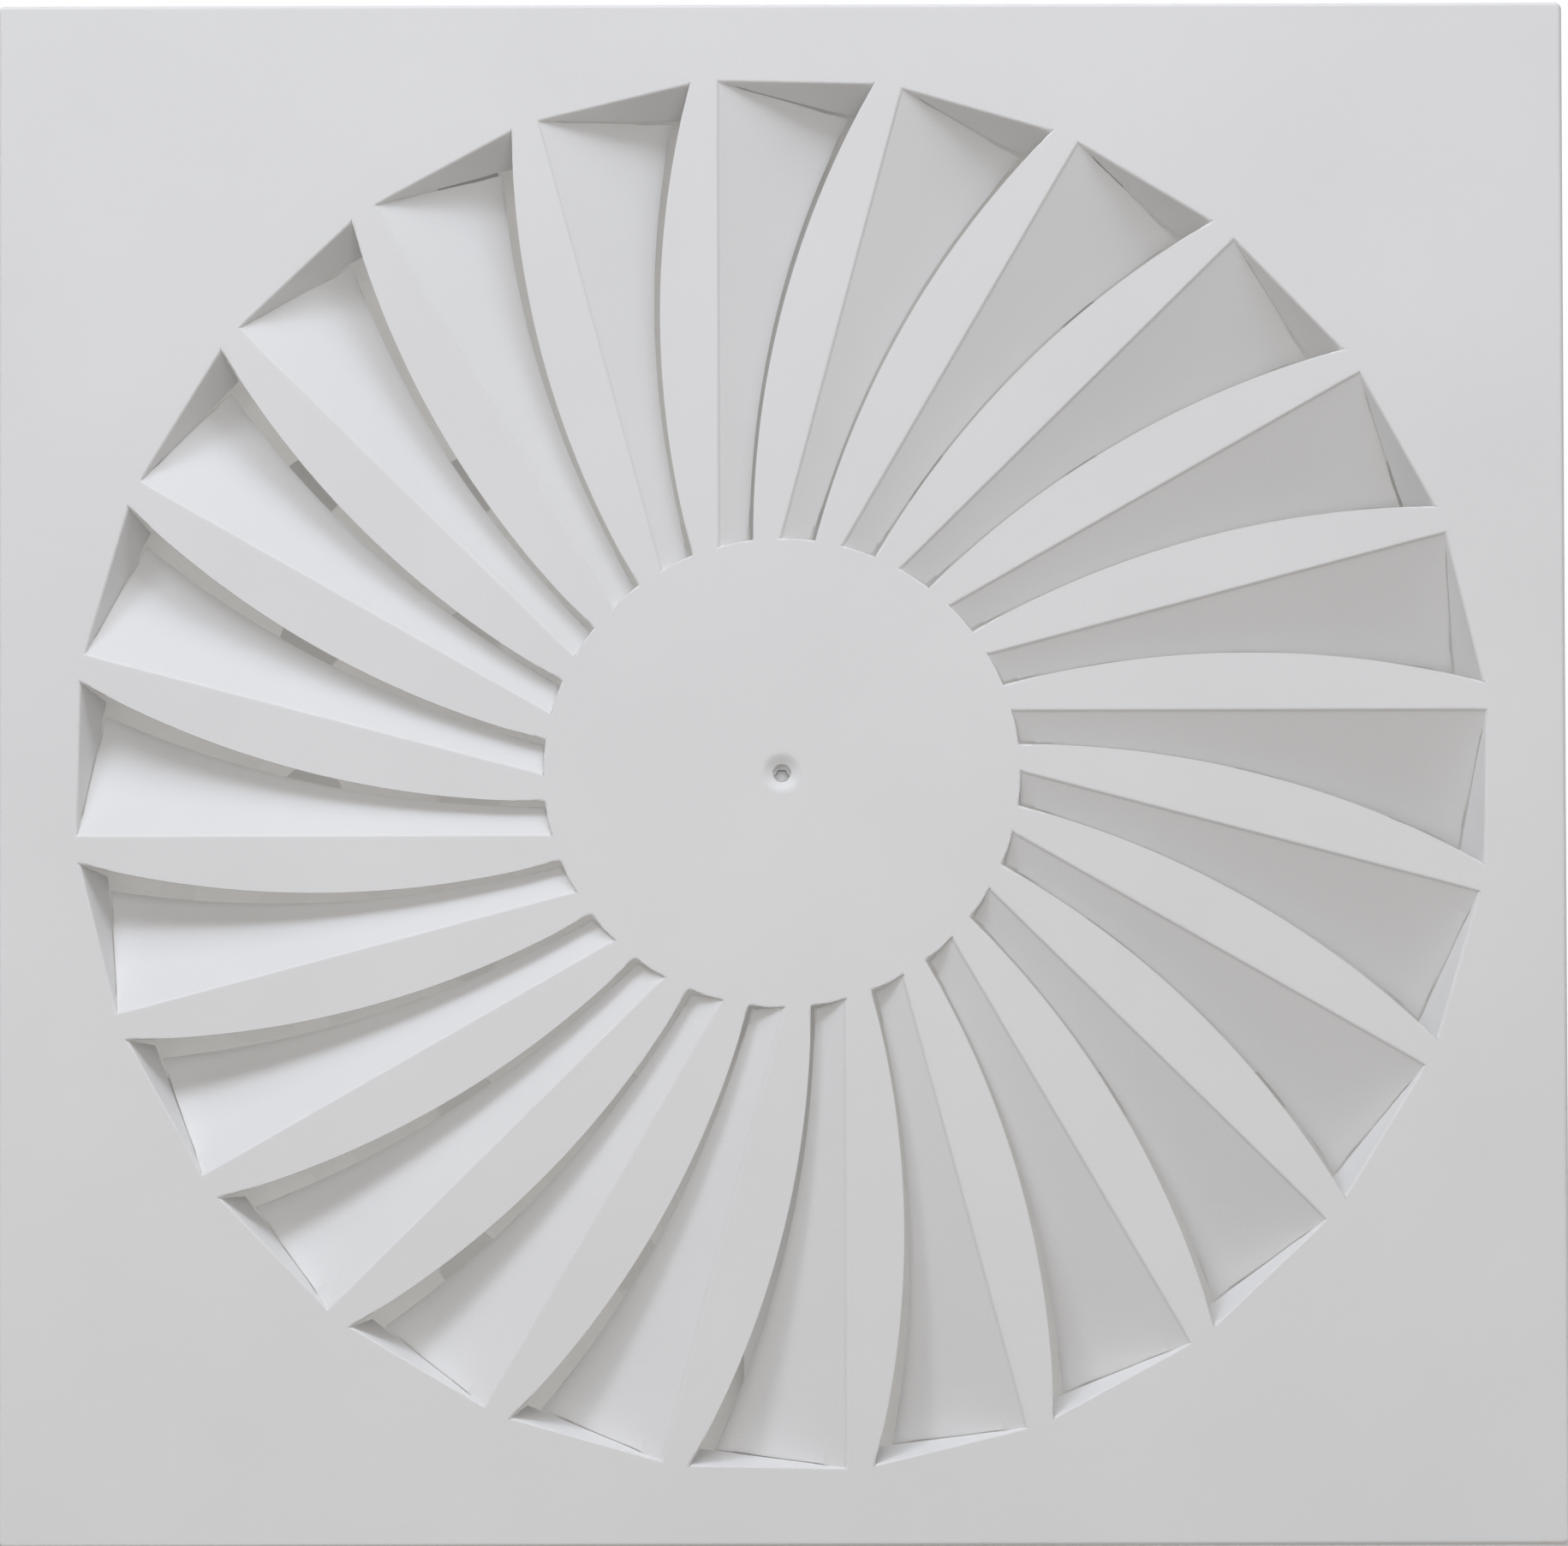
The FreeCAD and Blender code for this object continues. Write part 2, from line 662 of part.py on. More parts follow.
def plenum_lid():
    """The top sheet, with a skirt folded down outside the four sides."""
    half = "(box_half + box_sheet)"
    parts = [box((f"-{half}", f"-{half}", "box_top"), (f"2 * {half}", f"2 * {half}", "box_sheet"))]
    for low in (f"-{half}", "box_half"):
        parts.append(box((low, f"-{half}", "box_top - skirt"), ("box_sheet", f"2 * {half}", "skirt")))
        parts.append(box((f"-{half}", low, "box_top - skirt"), (f"2 * {half}", "box_sheet", "skirt")))
    piece("plenum_top", cut(fuse(parts), rivet_holes(lid_spots())))


def hangers():
    """Four angle brackets that the whole unit hangs from, one threaded rod through each."""
    for i, (side_x, side_y) in enumerate(hanger_places(), start=1):
        leg_y = "box_half" if side_y > 0 else "-(box_half + hanger_sheet)"
        tab_y = "box_half" if side_y > 0 else "-(box_half + hanger_reach)"
        left = f"{side_x} * hanger_offset - hanger_half_width"
        leg = box((left, leg_y, "hanger_top - hanger_drop"),
                  ("2 * hanger_half_width", "hanger_sheet", "hanger_drop"))
        tab = box((left, tab_y, "hanger_top - hanger_sheet"),
                  ("2 * hanger_half_width", "hanger_reach", "hanger_sheet"))
        rod_hole = cylinder("hanger_hole_radius", OVERSHOOT,
                            (f"{side_x} * hanger_offset", f"{side_y} * (box_half + hanger_hole_reach)",
                             f"hanger_top - {OVERSHOOT / 2}"))
        spots = [spot for spot in hanger_spots()
                 if spot[1][1] == side_y and spot[0][0].startswith(f"{side_x} ")]
        piece(f"hanger_{i}", cut(fuse([leg, tab]), [rod_hole] + rivet_holes(spots)))


def equaliser():
    """The perforated sheet that evens out the air above the blades, on four small angles."""
    plate = box(("-mesh_half", "-mesh_half", "mesh_level"),
                ("2 * mesh_half", "2 * mesh_half", "mesh_sheet"))
    middle = (SIZES["mesh_holes"] - 1) / 2
    holes = [cylinder("mesh_hole_radius", OVERSHOOT,
                      (f"{i - middle} * mesh_pitch", f"{j - middle} * mesh_pitch",
                       f"mesh_level - {OVERSHOOT / 2}"))
             for i in range(SIZES["mesh_holes"]) for j in range(SIZES["mesh_holes"])]
    angles, screws, screw_holes = [], [], []
    for side_x, side_y in hanger_places():
        reach = "(box_half - box_sheet)"
        leg_y = f"{reach} - angle_sheet" if side_y > 0 else f"-{reach}"
        shelf_y = f"{reach} - angle_reach" if side_y > 0 else f"-{reach}"
        left = f"{side_x} * angle_offset - angle_half_width"
        leg = box((left, leg_y, "mesh_level - angle_drop"),
                  ("2 * angle_half_width", "angle_sheet", "angle_drop"))
        shelf = box((left, shelf_y, "mesh_level - angle_sheet"),
                    ("2 * angle_half_width", "angle_reach", "angle_sheet"))
        at = (f"{side_x} * angle_offset", f"{side_y} * ({reach} - angle_screw_inset)")
        bore = cylinder("angle_screw_radius", OVERSHOOT, (*at, f"mesh_level - {OVERSHOOT / 2}"))
        screw_holes.append(bore)
        spots = [spot for spot in angle_spots()
                 if spot[1][1] == side_y and spot[0][0].startswith(f"{side_x} ")]
        angles.append(cut(fuse([leg, shelf]), [bore] + rivet_holes(spots, 4.0)))
        head = cylinder("2 * angle_screw_radius", "angle_screw_radius",
                        (*at, "mesh_level - angle_sheet - angle_screw_radius"))
        shank = cylinder("angle_screw_radius", "angle_sheet + mesh_sheet + 2 * angle_screw_radius",
                         (*at, "mesh_level - angle_sheet"))
        screws.append(fuse([head, shank]))
    piece("equaliser_plate", cut(plate, holes + screw_holes))
    piece("equaliser_brackets", compound(angles))
    piece("equaliser_screws", compound(screws))
    rivets("equaliser_rivets", angle_spots(), "box_sheet + angle_sheet")


# ---- duct spigot ---------------------------------------------------------------------------

def spigot():
    """The round duct connection: a rolled tube with a riveted collar, a stop bead and a groove."""
    inner = "spigot_radius - spigot_sheet"
    deep = "spigot_radius - groove_depth"
    profile = [
        ("spigot_inner_end", inner), ("spigot_inner_end", "spigot_radius"),
        ("box_half", "spigot_radius"), ("box_half", "collar_radius"),
        ("box_half + spigot_sheet", "collar_radius"), ("box_half + spigot_sheet", "spigot_radius"),
        ("bead_start", "spigot_radius"), ("bead_start + bead_slope", "spigot_radius + bead_height"),
        ("bead_end - bead_slope", "spigot_radius + bead_height"), ("bead_end", "spigot_radius"),
        ("groove_start", "spigot_radius"), ("groove_start", deep),
        ("groove_end", deep), ("groove_end", "spigot_radius"),
        ("spigot_outer_end", "spigot_radius"), ("spigot_outer_end", inner),
        ("groove_end + spigot_sheet", inner), ("groove_end + spigot_sheet", f"{deep} - spigot_sheet"),
        ("groove_start - spigot_sheet", f"{deep} - spigot_sheet"),
        ("groove_start - spigot_sheet", inner), ("bead_end", inner),
        ("bead_end - bead_slope", f"{inner} + bead_height"),
        ("bead_start + bead_slope", f"{inner} + bead_height"), ("bead_start", inner),
    ]
    body = doc.addObject("PartDesign::Body", "Spigot")
    revolve(body, "Revolution", outline(body, "XZ_Plane", profile), "H_Axis")
    place(body, ("0", "0", "spigot_level"))
    bush_holes = cylinder("bush_hole", "2 * collar_radius",
                          ("shaft_reach", "0", "spigot_level - collar_radius"))
    piece("spigot_tube", cut(body, [bush_holes] + rivet_holes(collar_spots())))
    rivets("spigot_rivets", collar_spots(), "box_sheet + spigot_sheet")
    piece("lip_seal", ring("spigot_radius", f"{deep} + seal_base_gap",
                           "groove_end - groove_start - 2 * seal_gap",
                           ("groove_start + seal_gap", "0", "spigot_level"), X_AXIS))


def bushes():
    """Two flanged bushes that the damper shaft turns in."""
    length = "bush_inset"
    for label, side in (("upper_bush", 1), ("lower_bush", -1)):
        facing = (0, 0, side)
        surface = f"spigot_level + {side} * spigot_radius"
        stem = cylinder("bush_radius", length, ("shaft_reach", "0", f"{surface} - {side} * {length}"),
                        facing)
        flange = cylinder("bush_flange_radius", "bush_flange_thick",
                          ("shaft_reach", "0", surface), facing)
        bore = cylinder("bush_bore", OVERSHOOT,
                        ("shaft_reach", "0", f"{surface} - {side} * {OVERSHOOT / 2}"), facing)
        piece(label, cut(fuse([stem, flange]), [bore]))


def quadrant():
    """The slotted plate over the spigot that the damper lever is clamped to."""
    at = ("shaft_reach", "0", "quadrant_level")
    corner = ("shaft_reach - quadrant_back", "-quadrant_radius", "quadrant_level")
    keep = doc.addObject("Part::Common", "Sector")
    keep.Base = cylinder("quadrant_radius", "quadrant_sheet", at)
    keep.Tool = box(corner, ("quadrant_back + quadrant_radius", "2 * quadrant_radius",
                             "quadrant_sheet"))
    legs = [box(("shaft_reach - quadrant_back", low, "spigot_level"),
                ("quadrant_leg_length", "quadrant_leg_sheet", "quadrant_level - spigot_level"))
            for low in ("quadrant_leg", "-quadrant_leg - quadrant_leg_sheet")]
    below = cylinder("spigot_radius + quadrant_gap", "spigot_outer_end",
                     ("0", "0", "spigot_level"), X_AXIS)
    arc = cut(cylinder("slot_circle + slot_half_width", "quadrant_sheet", at, spin=-45, sweep=90),
              [cylinder("slot_circle - slot_half_width", "quadrant_sheet", at)])
    ends = [cylinder("slot_half_width", "quadrant_sheet",
                     ("shaft_reach + slot_circle * cos(45)", f"{side} * slot_circle * sin(45)",
                      "quadrant_level")) for side in (-1, 1)]
    shaft_hole = cylinder("quadrant_hole", "quadrant_sheet", at)
    piece("quadrant_bracket", cut(fuse([keep] + legs), [below, fuse([arc] + ends), shaft_hole]))


# ---- damper --------------------------------------------------------------------------------

LEVER_LEVEL = "(quadrant_level + quadrant_sheet + lever_gap)"
LEVER_SPIN = -45
CLAMP_AT = ("shaft_reach + slot_circle * cos(45)", "-slot_circle * sin(45)")


def blade_screw_levels():
    return [f"(spigot_level + {step} * blade_screw_step)" for step in (-1, 0, 1)]


def damper():
    """The butterfly blade, its shaft, and the lever that turns it; open at rest."""
    holes = [cylinder("blade_screw_hole", 2 * OVERSHOOT, ("shaft_reach", f"-{OVERSHOOT}", level), Y_AXIS)
             for level in blade_screw_levels()]
    disc_blade = cylinder("blade_radius", "blade_sheet",
                          ("shaft_reach", "shaft_radius", "spigot_level"), Y_AXIS)
    piece("damper_blade", cut(disc_blade, holes))
    shaft = cylinder("shaft_radius", "shaft_high - shaft_low", ("shaft_reach", "0", "shaft_low"))
    piece("damper_shaft", cut(shaft, holes))
    screws = []
    for level in blade_screw_levels():
        head = cylinder("blade_screw_head", "blade_screw_radius",
                        ("shaft_reach", "shaft_radius + blade_sheet", level), Y_AXIS)
        shank = cylinder("blade_screw_radius", "2 * shaft_radius + blade_sheet",
                         ("shaft_reach", "-shaft_radius", level), Y_AXIS)
        screws.append(fuse([head, shank]))
    piece("blade_screws", compound(screws))
    clip_level = "spigot_level - spigot_radius - bush_flange_thick - clip_play - clip_thick"
    piece("shaft_clip", ring("clip_radius", "shaft_radius", "clip_thick",
                             ("shaft_reach", "0", clip_level)))


def lever():
    pivot = ("shaft_reach", "0", LEVER_LEVEL)
    end = (f"shaft_reach + lever_length * cos({-LEVER_SPIN})",
           f"-lever_length * sin({-LEVER_SPIN})", LEVER_LEVEL)
    arm = box(("shaft_reach - lever_half_width * sin(45)", "-lever_half_width * cos(45)", LEVER_LEVEL),
              ("lever_length", "2 * lever_half_width", "lever_sheet"), spin=LEVER_SPIN)
    grip = box((f"{end[0]} - lever_half_width * sin(45)", f"{end[1]} - lever_half_width * cos(45)",
                LEVER_LEVEL), ("lever_sheet", "2 * lever_half_width", "lever_grip"), spin=LEVER_SPIN)
    knuckle = cylinder("lever_half_width", "lever_sheet", pivot)
    bores = [cylinder("lever_bore", OVERSHOOT, pivot),
             cylinder("clamp_bore", OVERSHOOT, (*CLAMP_AT, LEVER_LEVEL))]
    piece("damper_lever", cut(fuse([arm, grip, knuckle]), bores))


def clamp():
    """A carriage bolt up through the quadrant's slot and the lever, with washer and wing nut."""
    head_top = "quadrant_level - thin_gap"
    head = cylinder("clamp_head_radius", "clamp_head_height",
                    (*CLAMP_AT, f"{head_top} - clamp_head_height"))
    shank = cylinder("clamp_radius", f"clamp_top - ({head_top})", (*CLAMP_AT, head_top))
    piece("clamp_bolt", fuse([head, shank]))
    washer_level = f"({LEVER_LEVEL} + lever_sheet + thin_gap)"
    piece("clamp_washer", ring("washer_radius", "clamp_bore", "washer_thick",
                               (*CLAMP_AT, washer_level)))
    nut_level = f"({washer_level} + washer_thick + thin_gap)"
    hub = cylinder("wing_hub_radius", "wing_hub_height", (*CLAMP_AT, nut_level))
    wings = [box((f"{CLAMP_AT[0]} + {low}", f"{CLAMP_AT[1]} - wing_sheet / 2",
                  f"{nut_level} + wing_sheet"),
                 ("wing_reach - clamp_radius - wing_sheet / 2", "wing_sheet", "wing_rise"))
             for low in ("clamp_radius + wing_sheet / 2", "(-wing_reach)")]
    bore = cylinder("clamp_bore", 2 * OVERSHOOT, (*CLAMP_AT, nut_level))
    piece("wing_nut", cut(fuse([hub] + wings), [bore]))


# ---- build, check and write ----------------------------------------------------------------

face_plate()
piece("face_gasket", square_ring("gasket_inner", "gasket_width", "plate_sheet", "gasket_thick"))
screw_cage()
centre_screw()
crossbar()
plain_side("plenum_side_left", 1)
plain_side("plenum_side_right", -1)
lapped_side("plenum_side_spigot", 1, True)
lapped_side("plenum_side_rear", -1, False)
plenum_lid()
rivets("corner_rivets", lap_spots(), "2 * box_sheet")
rivets("lid_rivets", lid_spots(), "2 * box_sheet")
hangers()
rivets("hanger_rivets", hanger_spots(), "box_sheet + hanger_sheet")
equaliser()
spigot()
bushes()
quadrant()
damper()
lever()
clamp()
doc.removeObject("Probe")
doc.recompute()

broken = [obj.Name for obj in doc.Objects if {"Invalid", "Error"} & set(obj.State)]
broken += [obj.Label for obj in pieces if obj.Shape.isNull() or not obj.Shape.isValid()]
if broken:
    raise SystemExit(f"failed: {broken}")
os.makedirs("parts", exist_ok=True)
for obj in pieces:
    obj.Shape.exportStep(f"parts/{obj.Label}.step")
    print(f"{obj.Label}: {len(obj.Shape.Solids)} solids, {obj.Shape.Volume:.0f} mm3")
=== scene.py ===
import json
import math

import bmesh
import bpy
from mathutils import Matrix, Vector
from mathutils.geometry import delaunay_2d_cdt

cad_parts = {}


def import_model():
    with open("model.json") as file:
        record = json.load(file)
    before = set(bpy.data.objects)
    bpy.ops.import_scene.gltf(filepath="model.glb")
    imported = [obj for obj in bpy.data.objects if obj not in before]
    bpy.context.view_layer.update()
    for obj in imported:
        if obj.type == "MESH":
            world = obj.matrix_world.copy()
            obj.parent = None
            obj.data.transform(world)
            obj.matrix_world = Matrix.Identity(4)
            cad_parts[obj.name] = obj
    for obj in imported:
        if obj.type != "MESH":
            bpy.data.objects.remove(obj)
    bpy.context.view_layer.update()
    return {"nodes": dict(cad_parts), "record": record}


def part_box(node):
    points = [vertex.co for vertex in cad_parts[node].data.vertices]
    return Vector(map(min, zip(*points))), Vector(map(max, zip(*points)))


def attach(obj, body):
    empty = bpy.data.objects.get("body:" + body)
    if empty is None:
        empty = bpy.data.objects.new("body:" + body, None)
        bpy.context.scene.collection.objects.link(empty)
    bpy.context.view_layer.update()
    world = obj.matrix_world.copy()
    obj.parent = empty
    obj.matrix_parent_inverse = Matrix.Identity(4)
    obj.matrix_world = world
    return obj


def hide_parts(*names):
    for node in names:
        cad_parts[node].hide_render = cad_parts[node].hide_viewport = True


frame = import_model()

MM = 0.001

# ---- the face plate's sizes, in millimetres, slot 0 pointing along +Y ------------------------

BLADES = 24
SHEET = 1.0
HUB_R = 91.0
RING_R = 270.0
FOLD_X = 24.0
CORNER_X = -35.85
CURVE_R = 358.0
FOLD_ANGLE = math.radians(22.0)
WALL_ANGLE = math.radians(64.8)
CORNER_Y = math.sqrt(RING_R ** 2 - CORNER_X ** 2)
FOLD_IN_Y = math.sqrt(HUB_R ** 2 - FOLD_X ** 2)
FOLD_OUT_Y = math.sqrt(RING_R ** 2 - FOLD_X ** 2)
CURVE_X = CORNER_X - math.sqrt(CURVE_R ** 2 - (CORNER_Y - HUB_R) ** 2)

SHOULDER_DROP = 0.45
SLIT_START = 1.6            # from the corner that a blade shares with its end wall
WALL_TIP = (56.0, 22.9)     # along the chord and down the wall
KERF = 0.35                 # taken off a blade's free edge by the cut
SUPPORT = 0.9               # flat strip beside a fold or edge
EDGE_ROLL = 0.6
HOLE_R = 3.2
DIMPLE_TURNS = 48
DIMPLE = [(9.2, 0.0), (8.4, 0.0), (7.7, 0.04), (7.0, 0.16), (6.2, 0.42), (5.4, 0.76),
          (4.6, 1.12), (3.8, 1.46), (HOLE_R, 1.66)]
RIM_BEND = 1.5
RIM_TOP = 12.0
RIM_STEPS = 6
PLATE_CORNER_R = 1.0

FLAT_MITRE_LIMIT = 0.45     # least cosine used when a corner of a loop is moved outwards
MITRE_LIMIT = 0.75          # the same for a sheet's back
SHARP_TURN = -0.6           # cosine between two edges above which their corner counts as sharp
MERGE_DISTANCE = 1e-5
TIP_GUESS = 258.0           # height along the slot from which blade_tip() searches
TIP_ROUNDS = 8
ALONG_STEPS = 26
CHORD_STEPS = 10
CURVE_STEPS = 34
HUB_STEPS = 5
JOINED_STEPS = 2
FREE_STEPS = 7


def lerp(a, b, t):
    """The point a share t of the way from a to b."""
    return tuple(p + (q - p) * t for p, q in zip(a, b))


def curve_x(y):
    """The slot's curved edge: x at a height y along the radius."""
    return CURVE_X + math.sqrt(CURVE_R ** 2 - (y - HUB_R) ** 2)


def bend(angles, lengths, slope, drop):
    """A rounded fold in section: (across, deep) points that end on the line of that slope."""
    points = [(0.0, 0.0)]
    for angle, length in zip(angles, lengths):
        x, z = points[-1]
        a = math.radians(angle)
        points.append((x + length * math.cos(a), z + length * math.sin(a)))
    x, z = points[-1]
    shift = (z - drop) / math.tan(slope) - x
    return [(px + shift, pz) for px, pz in points]


# the turns of each fold, in degrees, and the lengths of its short flats
FOLD = bend((8, 20, 33, 42, 36, 28), (0.3, 0.3, 0.3, 0.35, 0.25, 0.25), FOLD_ANGLE, SHOULDER_DROP)
CHORD = bend((6, 17, 28, 39, 50, 60), (0.26,) * 6, WALL_ANGLE, 0.0)
BENDS = len(FOLD) - 1


def blade_point(across, y):
    """A point of the flat blade, from its distance from the fold seen square on."""
    return (FOLD_X - across, y, SHOULDER_DROP + across * math.tan(FOLD_ANGLE))


def free_across(y):
    """How far the folded blade reaches from its fold, seen square on, at a height y of the slot."""
    return (FOLD_X - curve_x(y)) * math.cos(FOLD_ANGLE) - KERF


def chord_frame():
    """The slot's end chord: its start, its direction, the direction inwards and its length."""
    start = (FOLD_X, FOLD_OUT_Y)
    dx, dy = CORNER_X - FOLD_X, CORNER_Y - FOLD_OUT_Y
    length = math.hypot(dx, dy)
    along = (dx / length, dy / length)
    return start, along, (-along[1], along[0]), length


def wall_point(along_mm, depth_mm):
    """A point of the end wall, from its place along the chord and its depth down the wall."""
    start, along, inward, _ = chord_frame()
    c = depth_mm * math.cos(WALL_ANGLE)
    return (start[0] + along[0] * along_mm + inward[0] * c,
            start[1] + along[1] * along_mm + inward[1] * c,
            depth_mm * math.sin(WALL_ANGLE))


def blade_tip():
    """Where the blade's free curved edge meets the plane of the end wall."""
    start, along, inward, _ = chord_frame()
    y = TIP_GUESS
    for _ in range(TIP_ROUNDS):
        across = free_across(y)
        x, _, z = blade_point(across, y)
        c = z / math.tan(WALL_ANGLE)
        y = start[1] + ((x - start[0]) / along[0]) * along[1] + inward[1] * c
    return blade_point(across, y)


TIP = blade_tip()


def corner_points():
    """The rounded corner that the fold and the chord's bend share."""
    _, _, inward, _ = chord_frame()
    points = []
    for (fx, fz), (cx, cz) in zip(FOLD, CHORD):
        points.append((FOLD_X - fx, FOLD_OUT_Y + inward[1] * cx, (fz + cz) / 2))
    return points


def blade_grid():
    """Rows from the hub to the rim, each from the plate across the fold to the free edge."""
    corner = corner_points()
    valley = math.dist(corner[-1], TIP)
    slit = SLIT_START / valley
    steps = [slit * (j + 1) / JOINED_STEPS for j in range(JOINED_STEPS)]
    steps += [slit + (1 - slit) * (j + 1) / FREE_STEPS for j in range(FREE_STEPS)]
    rows = []
    for i in range(ALONG_STEPS + 1):
        t = i / ALONG_STEPS
        y = FOLD_IN_Y + (FOLD_OUT_Y - FOLD_IN_Y) * t
        row = [(FOLD_X - fx, y, fz) for fx, fz in FOLD]
        if i == 0:
            row = [(x, math.sqrt(HUB_R ** 2 - x ** 2), z) for x, _, z in row]
        if i == ALONG_STEPS:
            row = corner
        inner_y = math.sqrt(HUB_R ** 2 - (CURVE_X + CURVE_R) ** 2)
        free_y = inner_y + (TIP[1] - inner_y) * t
        free = blade_point(free_across(free_y), free_y) if i < ALONG_STEPS else TIP
        rows.append(row + [lerp(row[-1], free, s) for s in steps])
    return rows


def wall_grid(valley):
    """Columns from the fold corner along the chord, each from the plate down to the slit."""
    start, along, inward, length = chord_frame()
    tip = wall_point(*WALL_TIP)
    columns = []
    for i in range(CHORD_STEPS + 1):
        t = i / CHORD_STEPS
        x, y = start[0] + along[0] * length * t, start[1] + along[1] * length * t
        column = [(x + inward[0] * c, y + inward[1] * c, z) for c, z in CHORD]
        if i == 0:
            columns.append(valley[:BENDS + 1 + JOINED_STEPS])
            continue
        if i == CHORD_STEPS:
            column = [(curve_x(py), py, pz) for _, py, pz in column]
        far = lerp(valley[BENDS + JOINED_STEPS], tip, t)
        column += [lerp(column[-1], far, (j + 1) / JOINED_STEPS) for j in range(JOINED_STEPS)]
        columns.append(column)
    return columns


def slot_loop(blade, wall):
    """The slot's edge on the plate: fold, chord, curved edge and hub arc, in order."""
    loop = [row[0][:2] for row in blade]
    loop += [column[0][:2] for column in wall[1:]]
    top = loop[-1][1]
    inner_x = CURVE_X + CURVE_R
    inner_y = math.sqrt(HUB_R ** 2 - inner_x ** 2)
    for i in range(1, CURVE_STEPS + 1):
        y = top + (inner_y - top) * i / CURVE_STEPS
        loop.append((curve_x(y), y))
    end = loop[0]
    a0, a1 = math.atan2(inner_y, loop[-1][0]), math.atan2(end[1], end[0])
    for i in range(1, HUB_STEPS):
        a = a0 + (a1 - a0) * i / HUB_STEPS
        loop.append((HUB_R * math.cos(a), HUB_R * math.sin(a)))
    return loop


def grown(loop, by):
    """The loop moved outwards by a distance, mitred at its corners."""
    area = sum(a[0] * b[1] - b[0] * a[1] for a, b in zip(loop, loop[1:] + loop[:1]))
    side = 1 if area > 0 else -1
    out = []
    for i, here in enumerate(loop):
        before, after = Vector(loop[i - 1]), Vector(loop[(i + 1) % len(loop)])
        a = (Vector(here) - before).normalized()
        b = (after - Vector(here)).normalized()
        na, nb = Vector((a.y, -a.x)) * side, Vector((b.y, -b.x)) * side
        m = (na + nb).normalized()
        out.append(tuple(Vector(here) + m * by / max(FLAT_MITRE_LIMIT, m.dot(na))))
    return out


def turned(point, k):
    """The point moved to slot k."""
    a = 2 * math.pi * k / BLADES
    x, y = point[0], point[1]
    spun = (x * math.cos(a) - y * math.sin(a), x * math.sin(a) + y * math.cos(a))
    return spun + tuple(point[2:])


def rounded_square(half, radius, level, per_side=12, per_corner=6):
    """A closed loop round the plate, always with the same number of points."""
    loop = []
    for quarter in range(4):
        a = math.pi / 2 * quarter
        c, s = math.cos(a), math.sin(a)
        flat = half - radius
        side = [(half, -flat + 2 * flat * i / per_side) for i in range(per_side)]
        arc = [(flat + radius * math.cos(t), flat + radius * math.sin(t))
               for t in (math.pi / 2 * i / per_corner for i in range(per_corner))]
        loop += [(x * c - y * s, x * s + y * c, level) for x, y in side + arc]
    return loop


def inside(point, loop):
    """Is a point of the plane within the loop?"""
    hit = False
    for (x0, y0), (x1, y1) in zip(loop, loop[1:] + loop[:1]):
        if (y0 > point[1]) != (y1 > point[1]) and \
                point[0] < (x1 - x0) * (point[1] - y0) / (y1 - y0) + x0:
            hit = not hit
    return hit


class Skin:
    """Collects the visible surface of a sheet as quads and triangles that share their points."""

    def __init__(self):
        self.points, self.faces, self.known = [], [], {}

    def at(self, point):
        key = tuple(round(v, 3) for v in point)
        if key not in self.known:
            self.known[key] = len(self.points)
            self.points.append(tuple(point))
        return self.known[key]

    def face(self, *corners):
        ids = []
        for corner in corners:
            i = self.at(corner)
            if i not in ids:
                ids.append(i)
        if len(ids) > 2:
            self.faces.append(ids)

    def grid(self, rows):
        for a, b in zip(rows, rows[1:]):
            for j in range(len(a) - 1):
                self.face(a[j], a[j + 1], b[j + 1], b[j])

    def bands(self, loops):
        for inner, outer in zip(loops, loops[1:]):
            for j in range(len(inner)):
                k = (j + 1) % len(inner)
                self.face(inner[j], inner[k], outer[k], outer[j])


def flat_part(skin, slot, outer, centre):
    """Fill the flat of the plate between the rim, the slots and the dimple."""
    slots = [[turned(p + (0.0,), k) for p in slot] for k in range(BLADES)]
    source, edges = [], []
    for loop in slots + [outer, centre]:
        first = len(source)
        source += loop
        edges += [(first + i, first + (i + 1) % len(loop)) for i in range(len(loop))]
    coords = [Vector(p[:2]) for p in source]
    points, _, faces, origins, _, _ = delaunay_2d_cdt(coords, edges, [], 1, MERGE_DISTANCE)
    count = len(slot)
    holes = [coords[k * count:(k + 1) * count] for k in range(BLADES)]
    sector = 2 * math.pi / BLADES
    for face in faces:
        mid = sum((points[i] for i in face), Vector((0, 0))) / len(face)
        if mid.length < DIMPLE[0][0]:
            continue
        nearest = round((math.atan2(mid.y, mid.x) - math.pi / 2) / sector)
        if any(inside(mid, holes[(nearest + step) % BLADES]) for step in (-1, 0, 1)):
            continue
        skin.face(*[source[origins[i][0]] for i in face])


